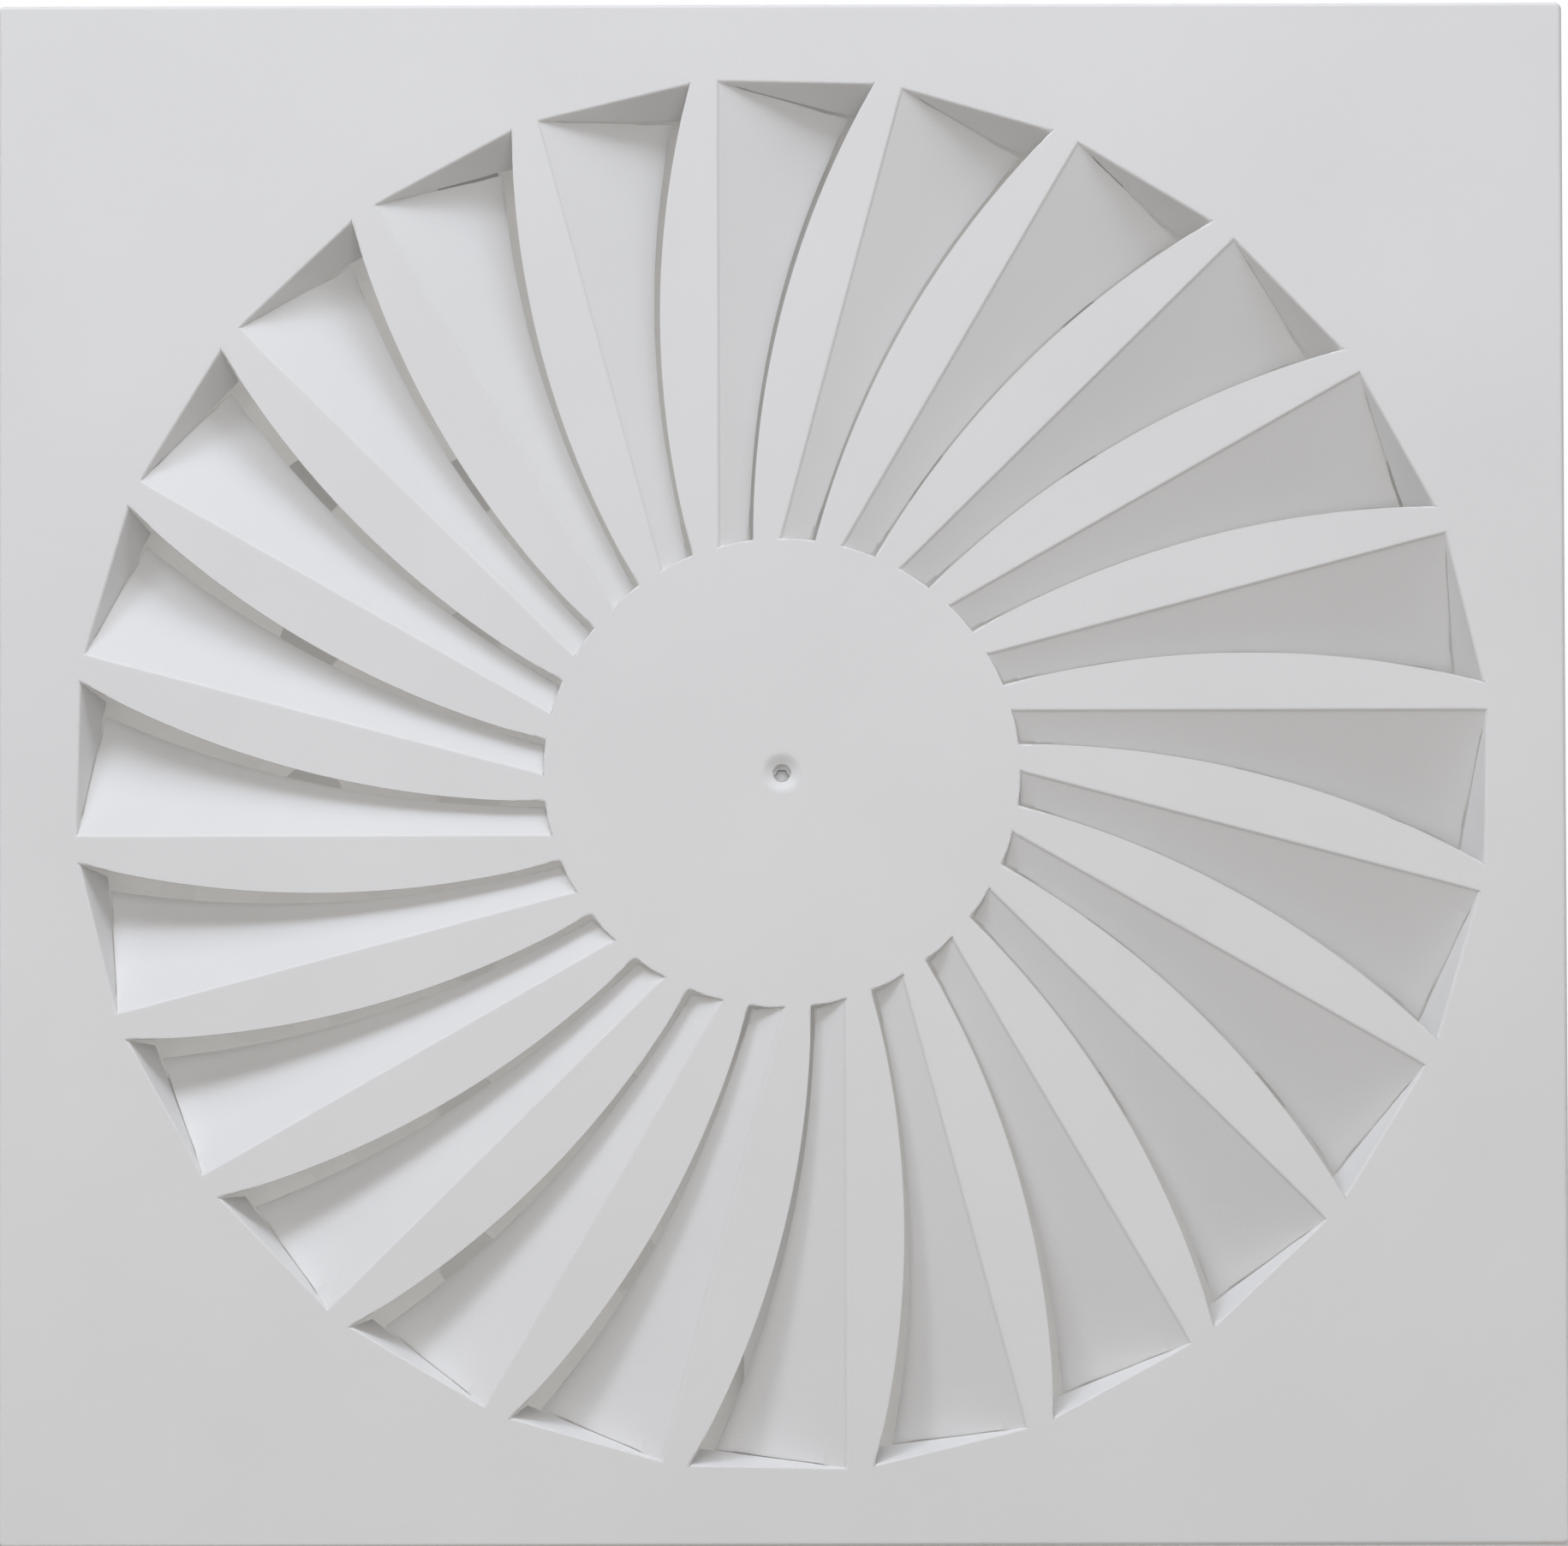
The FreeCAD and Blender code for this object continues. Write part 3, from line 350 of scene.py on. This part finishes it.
def face_skin():
    """The whole visible surface of the face plate, one sheet with 24 blades."""
    skin = Skin()
    blade = blade_grid()
    wall = wall_grid(blade[-1])
    loop = slot_loop(blade, wall)
    support = grown(loop, SUPPORT)
    for k in range(BLADES):
        skin.grid([[turned(p, k) for p in row] for row in blade])
        skin.grid([[turned(p, k) for p in column] for column in wall])
        skin.bands([[turned(p + (0.0,), k) for p in ring] for ring in (loop, support)])
    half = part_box("face_plate")[1].x / MM
    rim = [rounded_square(half - RIM_BEND - SUPPORT, PLATE_CORNER_R, 0.0),
           rounded_square(half - RIM_BEND, PLATE_CORNER_R, 0.0)]
    for i in range(1, RIM_STEPS + 1):
        a = math.pi / 2 / RIM_STEPS * i
        rim.append(rounded_square(half - RIM_BEND * (1 - math.sin(a)),
                                  PLATE_CORNER_R + RIM_BEND * math.sin(a),
                                  RIM_BEND * (1 - math.cos(a))))
    rim.append(rounded_square(half, PLATE_CORNER_R + RIM_BEND, RIM_TOP))
    skin.bands(rim)
    angles = [2 * math.pi * i / DIMPLE_TURNS for i in range(DIMPLE_TURNS)]
    dimple = [[(r * math.cos(t), r * math.sin(t), z) for t in angles] for r, z in DIMPLE]
    skin.bands(dimple)
    flat_part(skin, support, rim[0], dimple[0])
    return skin


def mesh_object(name, points, faces, scale=MM):
    mesh = bpy.data.meshes.new(name)
    mesh.from_pydata([tuple(c * scale for c in p) for p in points], [], faces)
    mesh.validate()
    obj = bpy.data.objects.new(name, mesh)
    bpy.context.collection.objects.link(obj)
    return obj


def finish_mesh(obj, sharp=35):
    """Smooth shading, with an edge kept sharp where it turns by more than that many degrees."""
    obj.data.polygons.foreach_set("use_smooth", [True] * len(obj.data.polygons))
    obj.data.set_sharp_from_angle(angle=math.radians(sharp))


def apply_modifiers(obj):
    """Keep the mesh that the modifiers make, without the modifiers."""
    graph = bpy.context.evaluated_depsgraph_get()
    done = bpy.data.meshes.new_from_object(obj.evaluated_get(graph))
    obj.modifiers.clear()
    obj.data = done


def weigh_normals(obj):
    """Let the large flat faces set the shading along their folds and rolled edges."""
    weigh = obj.modifiers.new("weigh", "WEIGHTED_NORMAL")
    weigh.keep_sharp = True
    apply_modifiers(obj)


def sharp_corner(vert):
    """Does an open edge turn sharply at this point?"""
    ways = [(e.other_vert(vert).co - vert.co).normalized()
            for e in vert.link_edges if e.is_boundary]
    return len(ways) != 2 or ways[0].dot(ways[1]) > SHARP_TURN


def thickened(bm, thick):
    """Give an open surface a back, a constant distance behind its front, and close its edges.

    Returns the edges of the front that were open, apart from those that meet at a sharp corner."""
    open_edges = [e for e in bm.edges if e.is_boundary]
    gentle = [e for e in open_edges if not any(sharp_corner(v) for v in e.verts)]
    fronts = list(bm.faces)
    backs = {}
    for vert in list(bm.verts):
        normals = [f.normal for f in vert.link_faces]
        mean = sum((n * f.calc_area() for n, f in zip(normals, vert.link_faces)), Vector())
        mean = mean.normalized()
        widest = min(max(mean.dot(n), MITRE_LIMIT) for n in normals)
        backs[vert] = bm.verts.new(vert.co - mean * thick / widest)
    for f in fronts:
        bm.faces.new([backs[v] for v in reversed(f.verts)])
    for e in open_edges:
        a, b = e.link_loops[0].vert, e.link_loops[0].link_loop_next.vert
        bm.faces.new([b, a, backs[a], backs[b]])
    return gentle


def face_plate():
    """The pressed sheet, with rounded folds, thickness and rolled cut edges."""
    skin = face_skin()
    obj = mesh_object("pressed_face", skin.points, skin.faces)
    bm = bmesh.new()
    bm.from_mesh(obj.data)
    bmesh.ops.recalc_face_normals(bm, faces=bm.faces)
    biggest = max(bm.faces, key=lambda f: f.calc_area())
    if biggest.normal.z > 0:
        bmesh.ops.reverse_faces(bm, faces=bm.faces)
    bm.normal_update()
    rims = thickened(bm, SHEET * MM)
    bmesh.ops.bevel(bm, geom=rims, offset=EDGE_ROLL * MM, offset_type="OFFSET", segments=3,
                    profile=0.5, affect="EDGES", clamp_overlap=False)
    bm.to_mesh(obj.data)
    bm.free()
    finish_mesh(obj)
    weigh_normals(obj)
    return obj


# ---- plenum box and duct connection ----------------------------------------------------------

TURNS = 144
TUBE_R = 124.0
PLENUM_SHEET = 0.8
TUBE_START, COLLAR_X, TUBE_END = 275.0, 285.0, 435.0
COLLAR_R = 133.0
COLLAR_EDGE = 0.3
TIP_ROUND = 0.25
BEAD_START, BEAD_END, BEAD_RISE, BEAD_HEIGHT = 352.0, 360.0, 3.6, 1.5
GROOVE_START, GROOVE_END, GROOVE_WALL, GROOVE_DEPTH = 411.2, 420.8, 1.6, 2.0
BEAD_STEP, BEAD_STATIONS = 0.5, 17
GROOVE_STEP, GROOVE_STATIONS = 0.2, 9
SEAM_ANGLE = math.radians(4.0)
SEAM_SECTION = [(-1.0, 0), (-0.98, 1), (-0.5, 1), (0.0, 1), (0.5, 1), (0.98, 1), (1.0, 0)]
LID_BEND = 1.6
LID_BEND_STEPS = 6
LID_CORNER_R = 0.05
BREAK_DEPTH = 3.0
BREAK_EDGE = 12.0
BREAK_CORNER_R = 0.3
BREAK_STEPS = 8


def axis_point(x, r, angle, level):
    """A point round the spigot's axis; angle 0 is up."""
    return (x, r * math.sin(angle), level + r * math.cos(angle))


def turned_piece(name, profile, level):
    """A closed profile of (x, radius) turned right round the spigot's axis."""
    count = len(profile)
    points = [axis_point(x, r, 2 * math.pi * i / TURNS, level)
              for i in range(TURNS) for x, r in profile]
    faces = []
    for i in range(TURNS):
        a, b = i * count, (i + 1) % TURNS * count
        for j in range(count):
            k = (j + 1) % count
            faces.append((a + j, a + k, b + k, b + j))
    obj = mesh_object(name, points, faces)
    outward(obj)
    finish_mesh(obj)
    return obj


def outward(obj):
    """Turn every face of a closed mesh to the outside."""
    bm = bmesh.new()
    bm.from_mesh(obj.data)
    bmesh.ops.recalc_face_normals(bm, faces=bm.faces)
    bm.to_mesh(obj.data)
    bm.free()


def smooth_step(t):
    t = min(max(t, 0.0), 1.0)
    return t * t * (3 - 2 * t)


def tube_radius(x):
    """The spigot's outside radius: plain, with a rolled stop bead and a groove for the seal."""
    bead = smooth_step((x - BEAD_START) / BEAD_RISE) * smooth_step((BEAD_END - x) / BEAD_RISE)
    groove = (smooth_step((x - GROOVE_START) / GROOVE_WALL)
              * smooth_step((GROOVE_END - x) / GROOVE_WALL))
    return TUBE_R + BEAD_HEIGHT * bead - GROOVE_DEPTH * groove


def tube_stations():
    """Places along the tube, close together on the bead and on the groove's two walls."""
    bead = [BEAD_START + BEAD_STEP * i for i in range(BEAD_STATIONS)]
    near = [GROOVE_START + GROOVE_STEP * i for i in range(GROOVE_STATIONS)]
    far = [GROOVE_END - GROOVE_WALL + GROOVE_STEP * i for i in range(GROOVE_STATIONS)]
    return ([286.9, 300.0, 320.0, 340.0, 351.0] + bead + [370.0, 385.0, 400.0, 410.5]
            + near + [416.0] + far + [421.5, 428.0, 434.6])


def spigot_tube():
    """The rolled spigot with its turned-out collar, and the lapped seam along its underside."""
    level = (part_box("spigot_tube")[0].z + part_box("spigot_tube")[1].z) / 2 / MM
    stations = tube_stations()
    bore_r, back = TUBE_R - PLENUM_SHEET, COLLAR_X + PLENUM_SHEET
    collar = [(TUBE_START, bore_r), (TUBE_START, TUBE_R), (COLLAR_X, TUBE_R),
              (COLLAR_X, COLLAR_R - COLLAR_EDGE), (COLLAR_X + 0.2, COLLAR_R),
              (back - 0.2, COLLAR_R), (back, COLLAR_R - COLLAR_EDGE),
              (back, TUBE_R + 1.1), (back + 0.2, TUBE_R + 0.5), (back + 0.5, TUBE_R + 0.15)]
    outer = collar + [(x, tube_radius(x)) for x in stations]
    tip = [(TUBE_END, TUBE_R - TIP_ROUND), (TUBE_END, bore_r + TIP_ROUND)]
    inner = [(x, tube_radius(x) - PLENUM_SHEET) for x in reversed(stations)]
    tube = turned_piece("spigot_shell", outer + tip + inner, level)
    seam_x = stations[1:-1]
    points = [axis_point(x, tube_radius(x) + PLENUM_SHEET * up, math.pi + SEAM_ANGLE * t, level)
              for x in seam_x for t, up in SEAM_SECTION]
    n, last = len(SEAM_SECTION), len(seam_x) - 1
    faces = [(i * n + j, i * n + j + 1, (i + 1) * n + j + 1, (i + 1) * n + j)
             for i in range(last) for j in range(n - 1)]
    faces += [tuple(range(n)), tuple(reversed(range(last * n, (last + 1) * n)))]
    faces += [(i * n + n - 1, i * n, (i + 1) * n, (i + 1) * n + n - 1) for i in range(last)]
    seam = mesh_object("spigot_seam", points, faces)
    outward(seam)
    finish_mesh(seam)
    return tube, seam, level


def lip_seal(level):
    """A rubber ring in the groove, with two soft lips that lean back over it."""
    profile = [(412.3, 122.1), (412.3, 123.5), (412.0, 124.6), (411.4, 125.9), (411.6, 126.4),
               (412.2, 126.4), (413.3, 125.1), (414.6, 123.9), (415.5, 123.7), (415.9, 124.6),
               (415.4, 125.9), (415.6, 126.4), (416.2, 126.4), (417.3, 125.1), (418.6, 123.9),
               (419.4, 123.7), (419.7, 123.3), (419.7, 122.1)]
    return turned_piece("double_lip_seal", profile, level)


def plenum_top():
    """The lid, cross-broken inwards along its diagonals so that it doesn't drum."""
    low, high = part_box("plenum_top")
    half, level, foot = high.x / MM, high.z / MM, low.z / MM
    skin = Skin()
    rings = [rounded_square(half, LID_BEND, foot)]
    for i in range(LID_BEND_STEPS):
        a = math.pi / 2 / (LID_BEND_STEPS - 1) * i
        inset = LID_BEND * (1 - math.cos(a))
        rings.append(rounded_square(half - inset, LID_BEND - inset + LID_CORNER_R,
                                    level - LID_BEND * (1 - math.sin(a))))
    edge = rounded_square(half - BREAK_EDGE, BREAK_CORNER_R, level)
    for i in range(BREAK_STEPS + 1):
        t = i / BREAK_STEPS
        rings.append([(x * (1 - t), y * (1 - t), level - BREAK_DEPTH * t) for x, y, _ in edge])
    skin.bands(rings)
    obj = mesh_object("plenum_lid", skin.points, skin.faces)
    bm = bmesh.new()
    bm.from_mesh(obj.data)
    bmesh.ops.recalc_face_normals(bm, faces=bm.faces)
    top = max(bm.faces, key=lambda f: f.calc_center_median().z)
    if top.normal.z < 0:
        bmesh.ops.reverse_faces(bm, faces=bm.faces)
    bm.normal_update()
    thickened(bm, PLENUM_SHEET * MM)
    bm.to_mesh(obj.data)
    bm.free()
    finish_mesh(obj, sharp=30)
    return obj


def solid_of(bm, outline, low, high, place):
    """A prism on a closed outline; place turns (u, v, w) into a point."""
    bottom = [bm.verts.new(Vector(place(u, v, low)) * MM) for u, v in outline]
    top = [bm.verts.new(Vector(place(u, v, high)) * MM) for u, v in outline]
    bm.faces.new(list(reversed(bottom)))
    bm.faces.new(top)
    for i in range(len(outline)):
        k = (i + 1) % len(outline)
        bm.faces.new([bottom[i], bottom[k], top[k], top[i]])


NUT_TURNS = 32
NUT_STEPS = ((5.0, 0.0, 3.2), (4.3, 3.0, 6.2))      # radius, from and to above its foot
EAR_HALF = 1.1
CAST_VOXEL = 0.3
EAR = [(2.6, 0.6), (5.0, 0.9), (7.6, 3.2), (9.6, 5.6), (11.2, 8.0), (11.4, 9.8), (10.2, 10.9),
       (8.4, 10.8), (6.6, 9.4), (4.8, 7.0), (3.4, 5.9), (2.6, 5.8)]


def wing_nut():
    """A cast wing nut: two ears that lean out of a round hub, all edges soft."""
    low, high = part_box("wing_nut")
    foot = low.z / MM
    cx, cy = (low.x + high.x) / 2 / MM, (low.y + high.y) / 2 / MM
    bm = bmesh.new()
    angles = [2 * math.pi * i / NUT_TURNS for i in range(NUT_TURNS)]
    for r, z0, z1 in NUT_STEPS:
        solid_of(bm, [(r * math.cos(t), r * math.sin(t)) for t in angles], foot + z0, foot + z1,
                 lambda u, v, w: (cx + u, cy + v, w))
    for side in (-1, 1):
        solid_of(bm, [(side * u, v) for u, v in EAR], -EAR_HALF, EAR_HALF,
                 lambda u, v, w: (cx + u, cy + w, foot + v))
    mesh = bpy.data.meshes.new("cast_wing_nut")
    bm.to_mesh(mesh)
    bm.free()
    obj = bpy.data.objects.new("cast_wing_nut", mesh)
    bpy.context.collection.objects.link(obj)
    outward(obj)
    remesh = obj.modifiers.new("cast", "REMESH")
    remesh.mode = "VOXEL"
    remesh.voxel_size = CAST_VOXEL * MM
    soften = obj.modifiers.new("soften", "SMOOTH")
    soften.factor = 0.6
    soften.iterations = 6
    apply_modifiers(obj)
    finish_mesh(obj, sharp=60)
    return obj


# ---- materials -------------------------------------------------------------------------------

class Nodes:
    """A material's node tree, with short calls for the few nodes that are used here."""

    def __init__(self, name):
        self.material = bpy.data.materials.new(name)
        self.material.use_nodes = True
        self.tree = self.material.node_tree
        self.shader = self.tree.nodes["Principled BSDF"]
        self.place = self.tree.nodes.new("ShaderNodeTexCoord").outputs["Object"]

    def add(self, kind, **values):
        node = self.tree.nodes.new(kind)
        for key, value in values.items():
            if key in node.inputs:
                node.inputs[key].default_value = value
            else:
                setattr(node, key, value)
        return node

    def link(self, out, into):
        self.tree.links.new(out, into)

    def noise(self, scale, detail=3.0, rough=0.55):
        node = self.add("ShaderNodeTexNoise", Scale=scale, Detail=detail, Roughness=rough)
        self.link(self.place, node.inputs["Vector"])
        return node.outputs["Fac"]

    def spread(self, value, low, high, from_low=0.3, from_high=0.7):
        node = self.tree.nodes.new("ShaderNodeMapRange")
        for i, v in enumerate((from_low, from_high, low, high), start=1):
            node.inputs[i].default_value = v
        self.link(value, node.inputs[0])
        return node.outputs[0]

    def mix(self, value, dark, light):
        node = self.tree.nodes.new("ShaderNodeMix")
        node.data_type = "RGBA"
        node.inputs["A"].default_value = (*dark, 1)
        node.inputs["B"].default_value = (*light, 1)
        self.link(value, node.inputs["Factor"])
        return node.outputs["Result"]

    def bump(self, value, strength, distance):
        node = self.add("ShaderNodeBump", Strength=strength, Distance=distance)
        self.link(value, node.inputs["Height"])
        self.link(node.outputs["Normal"], self.shader.inputs["Normal"])


def powder_coat():
    """White powder paint with a fine orange-peel grain."""
    n = Nodes("powder_coat")
    n.link(n.mix(n.spread(n.noise(9.0), 0, 1), (0.80, 0.80, 0.80), (0.83, 0.83, 0.83)),
           n.shader.inputs["Base Color"])
    n.link(n.spread(n.noise(420.0), 0.46, 0.56), n.shader.inputs["Roughness"])
    n.bump(n.noise(650.0, detail=2.0), 0.12, 0.0004)
    n.shader.inputs["IOR"].default_value = 1.48
    return n.material


def galvanised():
    """Zinc-coated sheet with faint spangle."""
    n = Nodes("galvanised_sheet")
    cells = n.add("ShaderNodeTexVoronoi", Scale=85.0, Randomness=1.0)
    n.link(n.place, cells.inputs["Vector"])
    grey = n.tree.nodes.new("ShaderNodeRGBToBW")
    n.link(cells.outputs["Color"], grey.inputs[0])
    spangle = grey.outputs[0]
    n.link(n.mix(n.spread(spangle, 0, 1, 0.2, 0.8), (0.57, 0.575, 0.58), (0.605, 0.61, 0.615)),
           n.shader.inputs["Base Color"])
    n.link(n.spread(spangle, 0.49, 0.55, 0.2, 0.8), n.shader.inputs["Roughness"])
    n.shader.inputs["Metallic"].default_value = 0.7
    n.bump(n.noise(120.0), 0.08, 0.0006)
    return n.material


def plated(name, dark, light, rough, metallic=1.0):
    """Plated or bare metal, its colour and gloss slightly uneven."""
    n = Nodes(name)
    n.link(n.mix(n.spread(n.noise(260.0), 0, 1), dark, light), n.shader.inputs["Base Color"])
    n.link(n.spread(n.noise(900.0), *rough), n.shader.inputs["Roughness"])
    n.shader.inputs["Metallic"].default_value = metallic
    n.bump(n.noise(1500.0), 0.05, 0.0002)
    return n.material


def soft(name, dark, light, grain, depth):
    """Foam, rubber or nylon: matt, with a grain of that many cells to the metre."""
    n = Nodes(name)
    n.link(n.mix(n.spread(n.noise(grain), 0, 1), dark, light), n.shader.inputs["Base Color"])
    n.link(n.spread(n.noise(grain * 2), 0.6, 0.85), n.shader.inputs["Roughness"])
    n.bump(n.noise(grain * 1.5), 0.5, depth)
    return n.material


METALS = {
    "zinc_plate": ((0.42, 0.43, 0.45), (0.52, 0.53, 0.55), (0.4, 0.55), 0.8),
    "bright_steel": ((0.50, 0.50, 0.51), (0.62, 0.62, 0.63), (0.2, 0.32)),
    "spring_steel": ((0.07, 0.07, 0.075), (0.13, 0.13, 0.135), (0.35, 0.5)),
    "rivet_aluminium": ((0.70, 0.70, 0.71), (0.82, 0.82, 0.83), (0.28, 0.42)),
}
SOFTS = {
    "gasket_foam": ((0.03, 0.03, 0.032), (0.07, 0.07, 0.075), 1400.0, 0.0006),
    "seal_rubber": ((0.018, 0.018, 0.02), (0.035, 0.035, 0.037), 700.0, 0.0002),
    "bush_nylon": ((0.70, 0.68, 0.61), (0.78, 0.76, 0.70), 300.0, 0.0001),
}


def materials():
    made = {"face_paint": powder_coat(), "galvanised_sheet": galvanised()}
    made.update({name: plated(name, *values) for name, values in METALS.items()})
    made.update({name: soft(name, *values) for name, values in SOFTS.items()})
    return made


def paint(obj, material):
    obj.data.materials.clear()
    obj.data.materials.append(material)


# ---- build -----------------------------------------------------------------------------------

MATERIALS = materials()
SLOT_OF = {part["node"]: part["material_slot"] for part in frame["record"]["subparts"]}
for node, obj in frame["nodes"].items():
    paint(obj, MATERIALS[SLOT_OF[node]])

face = face_plate()
paint(face, MATERIALS["face_paint"])
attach(face, "face")
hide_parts("face_plate")

shell, seam, spigot_level = spigot_tube()
lid = plenum_top()
seal = lip_seal(spigot_level)
nut = wing_nut()
STAND_INS = [(shell, "plenum", ["spigot_tube"], "galvanised_sheet"),
             (seam, "plenum", [], "galvanised_sheet"),
             (lid, "plenum", ["plenum_top"], "galvanised_sheet"),
             (seal, "plenum", ["lip_seal"], "seal_rubber"),
             (nut, "wing_nut", ["wing_nut"], SLOT_OF["wing_nut"])]
for piece, body, nodes, slot in STAND_INS:
    paint(piece, MATERIALS[slot])
    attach(piece, body)
    if nodes:
        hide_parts(*nodes)


# ---- floor, light and camera -------------------------------------------------------------------

FLOOR_DROP = 32.0
FLOOR_HALF = 53.0
FLOOR_GLOW = 0.6
CAMERA_TILT = math.radians(10.4)
CAMERA_DISTANCE = 16.0
CAMERA_ROLL = math.radians(0.15)
CAMERA_SENSOR = 36.0
CAMERA_RANGE = 100.0
VIEW_WIDTH = 0.59813        # metres across the picture, in the plane of the face
AIM_RIGHT, AIM_UP = 0.0008165, -0.0001633
SOFTBOX_DISTANCE = 2.6
CHAMBER = (0.56, 0.56)
UP = (0, 0, 1)
FILL_COLOUR = (1.0, 0.977, 0.962)
DAYLIGHT = (0.83, 0.89, 1.0)
CHAMBER_COLOUR = (1.0, 0.95, 0.89)
SURROUND = (1.0, 0.94, 0.88, 1)
SURROUND_STRENGTH = 0.22
GLOSS_SHARE = 0.6


def floor():
    """A plain pale floor, as in a tall hall: lower than any camera that looks up at the face. It
    glows for the camera alone, so that it looks pale without lighting the face from below."""
    corners = [(x * FLOOR_HALF, y * FLOOR_HALF, -FLOOR_DROP)
               for x, y in ((-1, -1), (1, -1), (1, 1), (-1, 1))]
    obj = mesh_object("floor", corners, [(0, 1, 2, 3)], 1.0)
    n = Nodes("pale_floor")
    n.link(n.mix(n.spread(n.noise(2.0), 0, 1), (0.76, 0.76, 0.755), (0.8, 0.8, 0.795)),
           n.shader.inputs["Base Color"])
    n.shader.inputs["Roughness"].default_value = 0.8
    path = n.add("ShaderNodeLightPath")
    glow = n.add("ShaderNodeMath", operation="MULTIPLY")
    glow.inputs[1].default_value = FLOOR_GLOW
    n.link(path.outputs["Is Camera Ray"], glow.inputs[0])
    n.link(glow.outputs[0], n.shader.inputs["Emission Strength"])
    paint(obj, n.material)


def softbox(name, azimuth, elevation, size, strength, colour=(1, 1, 1)):
    """A soft light below the face. Azimuth 0 is the picture's top and 90 its left, elevation 90
    is straight below, and strength is the light that reaches the face square on."""
    a, e = math.radians(azimuth), math.radians(elevation)
    away = Vector((math.cos(e) * math.sin(a), math.cos(e) * math.cos(a), -math.sin(e)))
    place = away * SOFTBOX_DISTANCE
    watts = strength * math.pi * SOFTBOX_DISTANCE ** 2
    area_light(name, place, -place, size, watts, colour)


def area_light(name, place, direction, size, watts, colour=(1, 1, 1)):
    """A rectangular light that the camera doesn't see."""
    data = bpy.data.lights.new(name, "AREA")
    data.shape = "RECTANGLE"
    data.size, data.size_y = size
    data.energy = watts
    data.color = colour
    obj = bpy.data.objects.new(name, data)
    bpy.context.collection.objects.link(obj)
    obj.location = place
    obj.rotation_euler = Vector(direction).to_track_quat("-Z", "Y").to_euler()
    obj.visible_camera = False


def world():
    """An even surround, white behind the object and bright in its gloss but dim on its paint."""
    w = bpy.data.worlds.new("studio")
    bpy.context.scene.world = w
    w.use_nodes = True
    tree = w.node_tree
    back = tree.nodes["Background"]
    back.inputs["Color"].default_value = SURROUND
    back.inputs["Strength"].default_value = SURROUND_STRENGTH
    seen = tree.nodes.new("ShaderNodeBackground")
    seen.inputs["Color"].default_value = (1, 1, 1, 1)
    path = tree.nodes.new("ShaderNodeLightPath")
    gloss = tree.nodes.new("ShaderNodeMath")
    gloss.operation = "MULTIPLY"
    gloss.inputs[1].default_value = GLOSS_SHARE
    share = tree.nodes.new("ShaderNodeMath")
    share.operation = "MAXIMUM"
    blend = tree.nodes.new("ShaderNodeMixShader")
    tree.links.new(path.outputs["Is Glossy Ray"], gloss.inputs[0])
    tree.links.new(path.outputs["Is Camera Ray"], share.inputs[0])
    tree.links.new(gloss.outputs[0], share.inputs[1])
    tree.links.new(share.outputs[0], blend.inputs[0])
    tree.links.new(back.outputs[0], blend.inputs[1])
    tree.links.new(seen.outputs[0], blend.inputs[2])
    tree.links.new(blend.outputs[0], tree.nodes["World Output"].inputs["Surface"])


def camera():
    """A long lens below the face, the picture's up along +Y and its right along -X."""
    data = bpy.data.cameras.new("camera")
    data.sensor_width = CAMERA_SENSOR
    data.lens = CAMERA_SENSOR * CAMERA_DISTANCE / VIEW_WIDTH
    data.clip_end = CAMERA_RANGE
    obj = bpy.data.objects.new("camera", data)
    bpy.context.collection.objects.link(obj)
    back = Vector((0, -math.sin(CAMERA_TILT), -math.cos(CAMERA_TILT)))
    up = Vector((0, math.cos(CAMERA_TILT), -math.sin(CAMERA_TILT)))
    right = up.cross(back)
    turn = Matrix((right, up, back)).transposed().to_4x4() @ Matrix.Rotation(-CAMERA_ROLL, 4, "Z")
    aim = right * AIM_RIGHT + up * AIM_UP
    obj.matrix_world = Matrix.Translation(aim + back * CAMERA_DISTANCE) @ turn
    bpy.context.scene.camera = obj


floor()
world()
softbox("key", 10, 34, (2.2, 0.8), 0.73, DAYLIGHT)
softbox("key_left", 38, 31, (0.8, 0.6), 0.57, DAYLIGHT)
softbox("key_right", -24, 31, (1.2, 0.9), 0.44, DAYLIGHT)
softbox("low_key", -5, 18, (2.8, 0.5), 0.43)
softbox("fill", 80, 88, (2.0, 2.0), 1.15, FILL_COLOUR)
area_light("lower_chamber", (0, 0, 0.024), UP, CHAMBER, 0.225, CHAMBER_COLOUR)
area_light("under_equaliser", (0, 0, 0.047), UP, CHAMBER, 0.175, CHAMBER_COLOUR)
area_light("upper_chamber", (0, 0, 0.054), UP, CHAMBER, 0.62, CHAMBER_COLOUR)
area_light("screw_recess", (0, 0, 0.0078), UP, (0.01, 0.01), 0.00012, CHAMBER_COLOUR)
area_light("behind", (0.9, -1.2, 2.2), (-0.85, 1.2, -2.0), (1.6, 1.6), 30.0)
area_light("side", (-1.9, -1.6, 0.9), (1.9, 1.6, -0.75), (1.2, 1.2), 14.0)
camera()
bpy.context.scene.view_settings.view_transform = "Standard"
